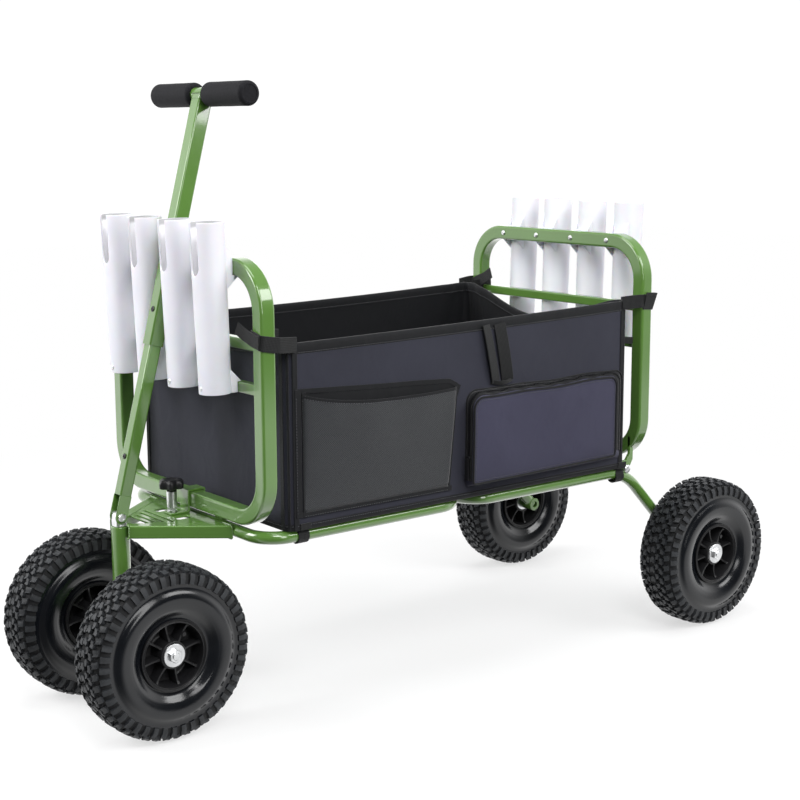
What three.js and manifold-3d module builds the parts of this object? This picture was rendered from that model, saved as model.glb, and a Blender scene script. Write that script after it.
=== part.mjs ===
// Fishing trolley: a steel cart on four pneumatic wheels, with a fabric basket, eight rod holders,
// a front axle that steers and a T-handle parked upright between the rod holders.
// Millimetres. +X towards the handle, +Y to the left, +Z up.
// The origin is on the ground, under the middle of the wheelbase.
import * as THREE from 'three';
import { mergeVertices } from 'three/addons/utils/BufferGeometryUtils.js';
import Module from 'manifold-3d';

const wasm = await Module();
wasm.setup();

// Fits
const fitGap = 0.3;
const cutOverrun = 3;

// Overall layout
const wheelbase = 1041;
const frontTrack = 242;
const rearTrack = 508;
const bedHeight = 292;
const endFrameX = 392.5;
const postOutset = 12;
const rodHoldersPerEnd = 4;

// Wheel
const tyreDiameter = 265;
const tyreWidth = 83;
const tyreWall = 7;
const lugCount = 18;
const shoulderDrop = 5;
const shoulderGrooveDepth = 8;
const crownGrooveDepth = 5;
const rimSeatRadius = 51.7;
const rimFlangeRadius = 55;
const rimWidth = 69.6;
const rimFlangeThickness = 3.8;
const rimBarrelWall = 4;
const rimWebThickness = 5;
const hubRadius = 21;
const hubLength = 62;
const ribCount = 8;
const ribThickness = 4;
const ribSetback = 11;
const bearingRadius = 17;
const bearingThickness = 4;
const bearingSleeveRadius = 9;

// Axles
const axleDiameter = 12;
const axleTubeDiameter = 25;
const axleHeadAcrossFlats = 19;
const axleHeadThickness = 8;
const hubSideGap = 1;
const rearSleeveLength = 33;
const rearBoltGrip = 20;

// Bed
const bedTubeDiameter = 20;
const bedTubeWall = 1.5;
const tyreLegGap = 2.5;
const bedBendRadius = 45;
const crossMemberInset = 4.5;
const midJointX = -2;
const legReach = 154;
const legBendRadius = 105;
const jointBoltDiameter = 8;
const jointBoltInset = 35;
const jointBoltHead = 13;
const jointBoltHeadThickness = 5;

// End frames
const frameTube = 25;
const frameTubeCorner = 4;
const frameTubeWall = 1.5;
const endFrameRise = 372.1;
const frameTopBend = 65;
const frameBottomBend = 62;
const frameSeat = 8;
const seatPadWidth = 8;
const seatPadLength = 24;
const seatPadY = 75;
const crossbarTube = 16;
const crossbarTubeCorner = 2.5;
const crossbarWall = 1.5;
const upperCrossbarDrop = 111.6;
const lowerCrossbarDrop = 176.6;
const holderScrewDiameter = 6;
const rearBracketThickness = 6;
const rearBracketLength = 30;
const rearBracketInset = 4.5;

// Rod holders
const holderDiameter = 50;
const holderWall = 2.5;
const holderLength = 250;
const holderSideGap = 40;
const holderStandoffBottom = 36;
const holderStandoffTop = 44;
const holderSlotWidth = 14;
const holderSlotLength = 80;
const holderWebSpacing = 26;
const holderWebThickness = 3;
const upperPadHalfHeight = 14;
const upperWebHalfHeight = 33;
const lowerPadHeight = 18;
const lowerWebHeight = 38;

// Drawbar
const drawbarTube = 20;
const drawbarTubeCorner = 2.5;
const drawbarWall = 1.5;
const drawbarHeadY = 16;
const drawbarTailY = 112;
const gussetThickness = 3;
const gussetSlotWidth = 5;
const gussetSlotWeb = 7;
const gussetSlotCount = 3;
const gussetSlotInset = 7;
const gussetWindowLength = 24;
const gussetWindowWidth = 17;
const gussetWindowY = 31;
const studForward = 37;
const studDiameter = 8;
const studLength = 62;
const knobDiameter = 42;
const knobHeight = 20;
const knobRise = 55;
const knobLobes = 6;
const knobLobeDepth = 2.6;
const saddleWidth = 26;
const saddleThickness = 3;
const saddleFootLength = 30;

// Steering head
const headTubeDiameter = 28;
const headTubeLength = 92;
const headTubeRise = 5;
const stemDiameter = 22;
const stemWall = 3;
const collarThickness = 6;
const lugWidth = 16;
const lugBaseThickness = 2;
const pivotRise = 15;
const pivotForward = 2;
const pivotDiameter = 8;
const pivotHeadDiameter = 13;
const pivotHeadThickness = 4;

// Handle
const handleReach = 652;
const lowerTube = 20;
const handleWall = 1.6;
const handleTubeCorner = 2.5;
const telescopeGap = 0.4;
const upperTubeStart = 265;
const tubeOverlap = 80;
const handleNotch = 33;
const crossTubeDiameter = 22;
const crossTubeLength = 245;
const gripDiameter = 37;
const gripLength = 113;
const gripEndRadius = 9;

// Basket
const basketEndGap = 24;
const basketOverPost = 2;
const basketHeight = 292.4;
const basketWall = 5;
const basketCorner = 18;
const strapWidth = 26;
const strapThickness = 2.5;
const strapDrop = 6;
const meshPocketX = 188;
const meshPocketLength = 318;
const meshPocketDrop = 87;
const meshPocketHeight = 188;
const meshPocketSag = 14;
const meshPocketDepth = 20;
const meshPocketSheet = 2;
const zipPocketX = -161;
const zipPocketLength = 336;
const zipPocketDrop = 119;
const zipPocketHeight = 157;
const zipPocketDepth = 22;
const zipPocketCorner = 26;
const zipPocketBevel = 6;

// Places worked out from the sizes above
const axleZ = tyreDiameter / 2;
const headX = wheelbase / 2;
const bedTubeRadius = bedTubeDiameter / 2;
const bedTopZ = bedHeight + bedTubeRadius;
const frameHalf = frameTube / 2;
const bedRailY = rearTrack / 2 - tyreWidth / 2 - tyreLegGap - bedTubeRadius;
const frontCrossMemberX = endFrameX - crossMemberInset;
const jointBoltY = bedRailY - bedBendRadius - jointBoltInset;
const postY = bedRailY + postOutset;
const frameBottomZ = bedTopZ + frameSeat + frameHalf;
const frameTopZ = frameBottomZ + endFrameRise;
const upperCrossbarZ = frameTopZ - upperCrossbarDrop;
const lowerCrossbarZ = frameTopZ - lowerCrossbarDrop;
const rearBracketBackX = endFrameX - rearBracketInset;
const holderBottomZ = lowerCrossbarZ - crossbarTube / 2;
const rodHolderPitch = holderDiameter + holderSideGap;
const gussetSlotPitch = gussetSlotWidth + gussetSlotWeb;
const studX = endFrameX + studForward;
const knobTopZ = bedTopZ + knobRise;
const headTubeTopZ = bedHeight + headTubeRise;
const pivotZ = headTubeTopZ + pivotRise;
const basketBottomZ = bedTopZ + fitGap + fitGap;
const basketTopZ = basketBottomZ + basketHeight;
const basketLength = 2 * (endFrameX - frameHalf - basketEndGap);
const basketWidth = 2 * (postY + basketOverPost);
const strapTopZ = basketTopZ - strapDrop;
const meshPocketTopZ = basketTopZ - meshPocketDrop;
const meshPocketBottomZ = meshPocketTopZ - meshPocketHeight;
const zipPocketBottomZ = basketTopZ - zipPocketDrop - zipPocketHeight;
const wheelHalf = hubLength / 2;
const axleRadius = axleDiameter / 2;
const axleTubeRadius = axleTubeDiameter / 2;
const headTubeRadius = headTubeDiameter / 2;
const stemRadius = stemDiameter / 2;
const upperTube = lowerTube + 2 * (handleWall + telescopeGap);
const upperTubeHalf = upperTube / 2;
const lowerTubeHalf = lowerTube / 2;

// Finishes
const finish = (color, roughness, metalness) => ({ color, roughness, metalness });
const greenPaint = finish(0x4f7d33, 0.35, 0.1);
const whitePlastic = finish(0xeeeef4, 0.45, 0);
const blackPlastic = finish(0x17181a, 0.45, 0);
const tyreRubber = finish(0x1d1f22, 0.85, 0);
const blackFoam = finish(0x232427, 0.95, 0);
const zincSteel = finish(0xc4c8cc, 0.3, 0.9);
const darkFabric = finish(0x2f323a, 0.9, 0);
const pocketFabric = finish(0x3c3c48, 0.9, 0);
const webbing = finish(0x17181c, 0.95, 0);

const trolley = new THREE.Group();

function place(name, geometry, look, parent = trolley) {
  const mesh = new THREE.Mesh(geometry, new THREE.MeshStandardMaterial(look));
  mesh.name = name;
  parent.add(mesh);
  return mesh;
}

// Geometry helpers

const vec = (x, y, z) => new THREE.Vector3(x, y, z);

// A closed surface from its corners and triangles, turned so that its faces point out
function closedSurface(points, indices) {
  let volume = 0;
  for (let i = 0; i < indices.length; i += 3) {
    const [a, b, c] = [points[indices[i]], points[indices[i + 1]], points[indices[i + 2]]];
    volume += a.dot(b.clone().cross(c));
  }
  if (volume < 0) indices.reverse();
  const geometry = new THREE.BufferGeometry();
  const positions = points.flatMap((p) => [p.x, p.y, p.z]);
  geometry.setAttribute('position', new THREE.Float32BufferAttribute(positions, 3));
  geometry.setIndex(indices);
  return geometry;
}

// A skin over rings of equally many points, capped at both ends unless it closes on itself
function loft(rings, closed = false) {
  const count = rings[0].length;
  const bands = closed ? rings.length : rings.length - 1;
  const indices = [];
  for (let band = 0; band < bands; band++) {
    const near = band * count;
    const far = ((band + 1) % rings.length) * count;
    for (let i = 0; i < count; i++) {
      const j = (i + 1) % count;
      indices.push(near + i, near + j, far + j, near + i, far + j, far + i);
    }
  }
  if (!closed) {
    const lastRing = (rings.length - 1) * count;
    for (let i = 1; i < count - 1; i++) {
      indices.push(0, i + 1, i);
      indices.push(lastRing, lastRing + i, lastRing + i + 1);
    }
  }
  return closedSurface(rings.flat(), indices);
}

// Stations along a bent tube's centreline: straight runs between arcs of the given radii
function bentPath(corners, radii, closed, bendSteps = 3) {
  const stations = [];
  const count = corners.length;
  corners.forEach((corner, i) => {
    const isEnd = !closed && (i === 0 || i === count - 1);
    if (isEnd) {
      const along = i === 0 ? corners[1].clone().sub(corner) : corner.clone().sub(corners[i - 1]);
      stations.push({ point: corner, direction: along.normalize() });
      return;
    }
    const into = corner.clone().sub(corners[(i + count - 1) % count]).normalize();
    const out = corners[(i + 1) % count].clone().sub(corner).normalize();
    const turn = into.angleTo(out);
    const reach = radii[i] * Math.tan(turn / 2);
    const start = corner.clone().addScaledVector(into, -reach);
    const inward = out.clone().addScaledVector(into, -out.dot(into)).normalize();
    const centre = start.clone().addScaledVector(inward, radii[i]);
    for (let step = 0; step <= bendSteps; step++) {
      const angle = (turn * step) / bendSteps;
      const point = centre.clone().addScaledVector(inward, -radii[i] * Math.cos(angle));
      point.addScaledVector(into, radii[i] * Math.sin(angle));
      const direction = into.clone().multiplyScalar(Math.cos(angle));
      direction.addScaledVector(inward, Math.sin(angle));
      stations.push({ point, direction });
    }
  });
  return stations;
}

// A section carried along the stations, kept upright by passing its up direction on
function sweep(stations, section, firstUp, closed = false) {
  let up = firstUp.clone();
  const rings = stations.map(({ point, direction }) => {
    up = up.clone().addScaledVector(direction, -up.dot(direction)).normalize();
    const side = direction.clone().cross(up);
    return section.map(([u, v]) => point.clone().addScaledVector(side, u).addScaledVector(up, v));
  });
  return loft(rings, closed);
}

// A round section whose flats, not its corners, lie at the radius
function roundSection(radius, sides = 8) {
  const cornerRadius = radius / Math.cos(Math.PI / sides);
  return Array.from({ length: sides }, (_, i) => {
    const angle = ((i + 0.5) / sides) * 2 * Math.PI;
    return [cornerRadius * Math.cos(angle), cornerRadius * Math.sin(angle)];
  });
}

// A square section with rounded edges
function squareSection(width, radius, steps = 1) {
  const inner = width / 2 - radius;
  const section = [];
  for (let quarter = 0; quarter < 4; quarter++) {
    const signX = quarter === 0 || quarter === 3 ? 1 : -1;
    const signY = quarter < 2 ? 1 : -1;
    for (let step = 0; step <= steps; step++) {
      const angle = ((quarter + step / steps) * Math.PI) / 2;
      section.push([signX * inner + radius * Math.cos(angle), signY * inner + radius * Math.sin(angle)]);
    }
  }
  return section;
}

const plainSquare = (width) => [[1, 1], [-1, 1], [-1, -1], [1, -1]].map(([u, v]) => [
  (u * width) / 2,
  (v * width) / 2,
]);

// A ring turned about Z from a closed profile of [radius, height] points, which may touch the axis
function turned(profile, segments) {
  const doubleArea = profile.reduce((sum, [r, z], i) => {
    const [nextR, nextZ] = profile[(i + 1) % profile.length];
    return sum + r * nextZ - nextR * z;
  }, 0);
  const ordered = doubleArea > 0 ? profile : [...profile].reverse();
  const points = [...ordered, ordered[0]].map(([r, z]) => new THREE.Vector2(r, z));
  return new THREE.LatheGeometry(points, segments).rotateX(Math.PI / 2);
}

const alongY = (geometry) => geometry.rotateX(-Math.PI / 2);
const alongX = (geometry) => geometry.rotateY(Math.PI / 2);

// A cylinder or hexagon about Z between two heights
function bar(radius, fromZ, toZ, segments = 12) {
  const geometry = new THREE.CylinderGeometry(radius, radius, toZ - fromZ, segments);
  geometry.rotateX(Math.PI / 2);
  geometry.translate(0, 0, (fromZ + toZ) / 2);
  return geometry;
}

// A hole's cutter, whose flats lie at the radius so that a shaft of that radius clears them
function bore(radius, fromZ, toZ, segments = 12) {
  return bar(radius / Math.cos(Math.PI / segments), fromZ, toZ, segments);
}

// A flat outline in X and Y pushed up from one height to another
function slab(outline, fromZ, toZ) {
  const isShape = outline instanceof THREE.Shape;
  const shape = isShape ? outline : new THREE.Shape(outline.map(([x, y]) => new THREE.Vector2(x, y)));
  const depth = toZ - fromZ;
  const geometry = new THREE.ExtrudeGeometry(shape, { depth, bevelEnabled: false, curveSegments: 3 });
  geometry.translate(0, 0, fromZ);
  return geometry;
}

// A flat outline in X and Z pushed sideways along Y, centred on a place
function sideSlab(outline, width, centreY) {
  const geometry = slab(outline, -width / 2, width / 2);
  geometry.rotateX(Math.PI / 2);
  geometry.translate(0, centreY, 0);
  return geometry;
}

function roundedRectangle(length, width, radius, centreX = 0, centreY = 0) {
  const shape = new THREE.Shape();
  const [halfX, halfY] = [length / 2, width / 2];
  const corners = [
    [centreX + halfX - radius, centreY + halfY - radius, 0],
    [centreX - halfX + radius, centreY + halfY - radius, 1],
    [centreX - halfX + radius, centreY - halfY + radius, 2],
    [centreX + halfX - radius, centreY - halfY + radius, 3],
  ];
  corners.forEach(([x, y, quarter]) => {
    shape.absarc(x, y, radius, (quarter * Math.PI) / 2, ((quarter + 1) * Math.PI) / 2, false);
  });
  return shape;
}

function toSolid(geometry) {
  const bare = geometry.clone();
  bare.deleteAttribute('normal');
  bare.deleteAttribute('uv');
  const merged = mergeVertices(bare);
  return new wasm.Manifold(new wasm.Mesh({
    numProp: 3,
    vertProperties: new Float32Array(merged.attributes.position.array),
    triVerts: new Uint32Array(merged.index.array),
  }));
}

function toGeometry(manifold) {
  const result = manifold.getMesh();
  const geometry = new THREE.BufferGeometry();
  geometry.setAttribute('position', new THREE.Float32BufferAttribute(result.vertProperties, 3));
  geometry.setIndex(Array.from(result.triVerts));
  return geometry;
}

const joined = (...geometries) => toGeometry(geometries.map(toSolid).reduce((all, one) => all.add(one)));
const cut = (body, ...cutters) => toGeometry(
  cutters.map(toSolid).reduce((rest, cutter) => rest.subtract(cutter), toSolid(body)),
);

// A bent tube with its bore, from the same centreline
function hollowTube(stations, outer, inner, up, closed) {
  const skin = sweep(stations, outer, up, closed);
  if (closed) return cut(skin, sweep(stations, inner, up, true));
  const ends = [stations[0], stations[stations.length - 1]];
  const core = stations.map((station) => ({ ...station, point: station.point.clone() }));
  core[0].point.addScaledVector(ends[0].direction, -cutOverrun);
  core[core.length - 1].point.addScaledVector(ends[1].direction, cutOverrun);
  return cut(skin, sweep(core, inner, up));
}

// Tyre

// Outer profile below the tread, from the tread's foot down to the bead: share of the half width,
// then share of the height from rim seat to crown
const sidewallShares = [[0.97, 0.8], [1, 0.52], [0.88, 0.19]];
const innerWallShares = [[0.6, 0], [0.78, 0.66]];
const shoulderShare = 0.86;
const crownShare = 0.42;
const lugFlatShare = 0.62;

function tyreGeometry() {
  const crownRadius = tyreDiameter / 2;
  const half = tyreWidth / 2;
  const seat = rimSeatRadius + fitGap + fitGap;
  const height = crownRadius - seat;
  const beadHalf = rimWidth / 2 - rimFlangeThickness - fitGap;
  const pitch = (2 * Math.PI) / lugCount;
  const flat = lugFlatShare * pitch;
  const flatStretch = 1 / Math.cos(flat / 2);
  const pitchStretch = 1 / Math.cos(pitch / 2);
  const points = [];
  const ringAt = (across, radii, angles) => {
    const start = points.length;
    for (let lug = 0; lug < lugCount; lug++) {
      angles.forEach((angle, i) => {
        const at = -Math.PI / 2 + lug * pitch + angle;
        points.push(vec(radii[i] * Math.cos(at), across, radii[i] * Math.sin(at)));
      });
    }
    return { start, perLug: angles.length };
  };
  const plainRing = (across, radius) => ringAt(across, [radius], [0]);
  const treadRing = (across, radius, depth) => ringAt(
    across,
    [radius * flatStretch, radius * flatStretch, radius - depth],
    [-flat / 2, flat / 2, pitch / 2],
  );
  const wallRing = ([across, up], side) => plainRing(side * across * half, seat + up * height);
  const outerHalf = (side) => [
    treadRing(side * crownShare * half, crownRadius, crownGrooveDepth),
    treadRing(side * shoulderShare * half, crownRadius - shoulderDrop, shoulderGrooveDepth),
    ...sidewallShares.map((shares) => wallRing(shares, side)),
    plainRing(side * beadHalf, (rimFlangeRadius + fitGap + fitGap) * pitchStretch),
  ];
  const innerHalf = (side) => innerWallShares.map(([across, up]) => plainRing(
    side * (across * half),
    up === 0 ? seat * pitchStretch : seat + up * height - (tyreWall * up) / 2,
  ));
  const rings = [
    ...outerHalf(1),
    ...innerHalf(1),
    ...innerHalf(-1).reverse(),
    ...outerHalf(-1).reverse(),
  ];
  const indices = [];
  const corner = (ring, lug, i) => {
    const step = Math.floor(i / ring.perLug);
    return ring.start + ((lug + step) % lugCount) * ring.perLug + (i % ring.perLug);
  };
  rings.forEach((ring, i) => {
    const next = rings[(i + 1) % rings.length];
    for (let lug = 0; lug < lugCount; lug++) {
      if (ring.perLug === next.perLug) {
        for (let k = 0; k < ring.perLug; k++) {
          const [a, b] = [corner(ring, lug, k), corner(ring, lug, k + 1)];
          const [c, d] = [corner(next, lug, k + 1), corner(next, lug, k)];
          indices.push(a, b, c, a, c, d);
        }
      } else {
        const isFineFirst = ring.perLug > next.perLug;
        const [fine, coarse] = isFineFirst ? [ring, next] : [next, ring];
        const turn = (a, b, c) => (isFineFirst ? indices.push(a, b, c) : indices.push(a, c, b));
        const [here, there] = [corner(coarse, lug, 0), corner(coarse, lug, 1)];
        turn(corner(fine, lug, 0), corner(fine, lug, 1), here);
        turn(corner(fine, lug, 1), corner(fine, lug, 2), here);
        turn(corner(fine, lug, 2), there, here);
        turn(corner(fine, lug, 2), corner(fine, lug, 3), there);
      }
    }
  });
  return closedSurface(points, indices);
}

// Moulded rim: bead seat, two flanges, a middle web, and ribs from the hub to the barrel on both sides
function rimGeometry() {
  const segments = 16;
  const half = rimWidth / 2;
  const seatEdge = half - rimFlangeThickness;
  const barrelInner = rimSeatRadius - rimBarrelWall;
  const web = rimWebThickness / 2;
  const pocketRadius = bearingRadius + fitGap;
  const pocketFloor = wheelHalf - bearingThickness - fitGap;
  const boreRadius = bearingSleeveRadius + fitGap;
  const side = [
    [boreRadius, pocketFloor],
    [pocketRadius, pocketFloor],
    [pocketRadius, wheelHalf],
    [hubRadius, wheelHalf],
    [hubRadius, web],
    [barrelInner, web],
    [barrelInner, half],
    [rimFlangeRadius, half],
    [rimFlangeRadius, seatEdge],
    [rimSeatRadius, seatEdge],
  ];
  const profile = [...side, ...side.map(([r, z]) => [r, -z]).reverse()];
  const ribReach = (barrelInner - hubRadius) + rimBarrelWall;
  const ribMiddle = (barrelInner + hubRadius) / 2;
  const ribs = Array.from({ length: ribCount }, (_, i) => {
    const rib = new THREE.BoxGeometry(ribReach, ribThickness, rimWidth - 2 * ribSetback);
    rib.translate(ribMiddle, 0, 0);
    rib.rotateZ(((i + 0.25) * 2 * Math.PI) / ribCount);
    return rib;
  });
  return alongY(joined(turned(profile, segments), ...ribs));
}

// Bearing sleeve: one steel ring in each end of the hub, joined by the spacer that the axle runs in
function bearingGeometry() {
  const boreRadius = (axleRadius + fitGap) / Math.cos(Math.PI / 12);
  const shoulder = wheelHalf - bearingThickness;
  const side = [
    [bearingSleeveRadius, shoulder],
    [bearingRadius, shoulder],
    [bearingRadius, wheelHalf],
    [boreRadius, wheelHalf],
  ];
  const profile = [...side, ...side.map(([r, z]) => [r, -z]).reverse()];
  return alongY(turned(profile, 12));
}

const wheelPlaces = {
  front_left: [headX, frontTrack / 2],
  front_right: [headX, -frontTrack / 2],
  rear_left: [-headX, rearTrack / 2],
  rear_right: [-headX, -rearTrack / 2],
};
for (const [corner, [x, y]] of Object.entries(wheelPlaces)) {
  const wheel = new THREE.Group();
  wheel.position.set(x, y, axleZ);
  trolley.add(wheel);
  place(`tyre_${corner}`, tyreGeometry(), tyreRubber, wheel);
  place(`rim_${corner}`, rimGeometry(), blackPlastic, wheel);
  place(`bearing_${corner}`, bearingGeometry(), zincSteel, wheel);
}

// Axles

const axleHead = (fromZ, toZ) => bar(axleHeadAcrossFlats / Math.sqrt(3), fromZ, toZ, 6);

function frontAxleTube() {
  const half = frontTrack / 2 - wheelHalf - hubSideGap;
  const outer = bar(axleTubeRadius, -half, half);
  const hole = bore(axleRadius + fitGap, -half - cutOverrun, half + cutOverrun);
  return alongY(cut(outer, hole)).translate(headX, 0, axleZ);
}

function frontAxleRod() {
  const half = frontTrack / 2 + wheelHalf + hubSideGap;
  const head = half + axleHeadThickness;
  const rod = joined(bar(axleRadius, -head, head, 12), axleHead(half, head), axleHead(-head, -half));
  return alongY(rod).translate(headX, 0, axleZ);
}

const rearHubFace = rearTrack / 2 - wheelHalf - hubSideGap;
const sleeveInnerY = rearHubFace - rearSleeveLength;

function rearSleeve(side) {
  const outer = bar(axleTubeRadius, sleeveInnerY, rearHubFace);
  const hole = bore(axleRadius + fitGap, sleeveInnerY - cutOverrun, rearHubFace + cutOverrun);
  const sleeve = cut(outer, hole).rotateX((-side * Math.PI) / 2);
  return sleeve.translate(-headX, 0, axleZ);
}

function rearAxleBolt(side) {
  const outerFace = rearTrack / 2 + wheelHalf + hubSideGap;
  const shank = bar(axleRadius, rearHubFace - rearBoltGrip, outerFace + axleHeadThickness, 12);
  const bolt = joined(shank, axleHead(outerFace, outerFace + axleHeadThickness));
  return bolt.rotateX((-side * Math.PI) / 2).translate(-headX, 0, axleZ);
}

place('front_axle_tube', frontAxleTube(), greenPaint);
place('front_axle_rod', frontAxleRod(), zincSteel);
for (const [name, side] of [['left', 1], ['right', -1]]) {
  place(`rear_axle_sleeve_${name}`, rearSleeve(side), greenPaint);
  place(`rear_axle_bolt_${name}`, rearAxleBolt(side), zincSteel);
}

// Bed: two loops of bent round tube, bolted together in the middle; the rear one runs down into legs

const frontLoopMidX = midJointX + bedTubeRadius;
const rearLoopMidX = midJointX - fitGap - bedTubeRadius;
const tubeBoreRadius = bedTubeRadius - bedTubeWall;
const upZ = vec(0, 0, 1);

function jointBoltHoles(fromX, toX) {
  return [-jointBoltY, jointBoltY].map((y) => {
    const hole = alongX(bore(jointBoltDiameter / 2 + fitGap, fromX, toX, 6));
    return hole.translate(0, y, bedHeight);
  });
}

function bedFront() {
  const corners = [
    vec(frontCrossMemberX, bedRailY, bedHeight),
    vec(frontLoopMidX, bedRailY, bedHeight),
    vec(frontLoopMidX, -bedRailY, bedHeight),
    vec(frontCrossMemberX, -bedRailY, bedHeight),
  ];
  const path = bentPath(corners, corners.map(() => bedBendRadius), true);
  const tube = hollowTube(path, roundSection(bedTubeRadius), roundSection(tubeBoreRadius), upZ, true);
  const reach = bedTubeDiameter + cutOverrun;
  const seatPads = [-seatPadY, seatPadY].map((y) => {
    const height = frameSeat + bedTubeWall / 2 - fitGap;
    const pad = new THREE.BoxGeometry(seatPadWidth, seatPadLength, height);
    return pad.translate(frontCrossMemberX, y, bedTopZ - bedTubeWall / 2 + height / 2);
  });
  return cut(joined(tube, ...seatPads), ...jointBoltHoles(midJointX - cutOverrun, midJointX + reach));
}

function bedRearPath() {
  const legX = -headX + legReach;
  const corners = [
    vec(-headX, bedRailY, axleZ),
    vec(legX, bedRailY, bedHeight),
    vec(rearLoopMidX, bedRailY, bedHeight),
    vec(rearLoopMidX, -bedRailY, bedHeight),
    vec(legX, -bedRailY, bedHeight),
    vec(-headX, -bedRailY, axleZ),
  ];
  const radii = [0, legBendRadius, bedBendRadius, bedBendRadius, legBendRadius, 0];
  return bentPath(corners, radii, false);
}

function bedRear() {
  const firstUp = vec(-1, 0, 1);
  const path = bedRearPath();
  const tube = hollowTube(path, roundSection(bedTubeRadius), roundSection(tubeBoreRadius), firstUp, false);
  const clearance = axleTubeRadius + fitGap;
  const reach = rearTrack / 2;
  const sleeveCutter = alongY(bore(clearance, -reach, reach, 16)).translate(-headX, 0, axleZ);
  const stubCutter = new THREE.BoxGeometry(2 * headTubeDiameter, 2 * reach, axleTubeDiameter);
  stubCutter.translate(-headX - headTubeDiameter, 0, axleZ);
  const fromX = midJointX - bedTubeDiameter - cutOverrun;
  return cut(tube, sleeveCutter, stubCutter, ...jointBoltHoles(fromX, midJointX + cutOverrun));
}

function jointBolt(side) {
  const grip = bedTubeDiameter + fitGap;
  const [back, front] = [midJointX - grip - fitGap, midJointX + bedTubeDiameter + fitGap];
  const head = jointBoltHead / Math.sqrt(3);
  const bolt = joined(
    bar(jointBoltDiameter / 2, back - jointBoltHeadThickness, front + jointBoltHeadThickness, 8),
    bar(head, back - jointBoltHeadThickness, back, 6),
    bar(head, front, front + jointBoltHeadThickness, 6),
  );
  return alongX(bolt).translate(0, side * jointBoltY, bedHeight);
}

place('bed_frame_front', bedFront(), greenPaint);
place('bed_frame_rear', bedRear(), greenPaint);
place('bed_joint_bolt_left', jointBolt(1), zincSteel);
place('bed_joint_bolt_right', jointBolt(-1), zincSteel);

// End frames: a closed loop of square tube with two crossbars between its posts

const rodHolderYs = Array.from(
  { length: rodHoldersPerEnd },
  (_, i) => (i - (rodHoldersPerEnd - 1) / 2) * rodHolderPitch,
);

function endFramePath(x) {
  const corners = [
    vec(x, postY, frameBottomZ),
    vec(x, postY, frameTopZ),
    vec(x, -postY, frameTopZ),
    vec(x, -postY, frameBottomZ),
  ];
  return bentPath(corners, [frameBottomBend, frameTopBend, frameTopBend, frameBottomBend], true);
}

// Screw holes for the rod holders, through the wall that faces the basket
function screwHoles(side, z, width) {
  const [fromX, toX] = [side * endFrameX, side * (endFrameX - width)].sort((a, b) => a - b);
  return rodHolderYs.map((y) => alongX(bar(holderScrewDiameter / 2, fromX, toX, 6)).translate(0, y, z));
}

function endFrame(side) {
  const x = side * endFrameX;
  const outer = squareSection(frameTube, frameTubeCorner);
  const inner = squareSection(frameTube - 2 * frameTubeWall, frameTubeCorner - frameTubeWall);
  const loop = hollowTube(endFramePath(x), outer, inner, vec(1, 0, 0), true);
  return cut(loop, ...screwHoles(side, frameTopZ, frameTube));
}

function crossbar(side, z, hasHoles) {
  const x = side * endFrameX;
  const reach = postY - frameHalf - fitGap;
  const path = bentPath([vec(x, -reach, z), vec(x, reach, z)], [0, 0], false);
  const outer = squareSection(crossbarTube, crossbarTubeCorner);
  const tube = hollowTube(path, outer, plainSquare(crossbarTube - 2 * crossbarWall), upZ, false);
  return hasHoles ? cut(tube, ...screwHoles(side, z, crossbarTube)) : tube;
}

for (const [name, side] of [['front', 1], ['rear', -1]]) {
  place(`end_frame_${name}`, endFrame(side), greenPaint);
  place(`crossbar_${name}_upper`, crossbar(side, upperCrossbarZ, false), greenPaint);
  place(`crossbar_${name}_lower`, crossbar(side, lowerCrossbarZ, true), greenPaint);
}

// Rear brackets: a plate that fills the wedge between each leg's bend and the end frame above it
function rearBracket(side) {
  const top = frameBottomZ + frameBottomBend / 2;
  const plate = new THREE.BoxGeometry(rearBracketLength, rearBracketThickness, top - bedHeight);
  plate.translate(rearBracketLength / 2 - rearBracketBackX, side * bedRailY, (top + bedHeight) / 2);
  const clearRound = roundSection(bedTubeRadius + fitGap);
  const clearSquare = squareSection(frameTube + 2 * fitGap, frameTubeCorner);
  const leg = sweep(bedRearPath(), clearRound, vec(-1, 0, 1));
  const frame = sweep(endFramePath(-endFrameX), clearSquare, vec(1, 0, 0), true);
  return cut(plate, leg, frame);
}
place('rear_bracket_left', rearBracket(1), greenPaint);
place('rear_bracket_right', rearBracket(-1), greenPaint);

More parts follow.
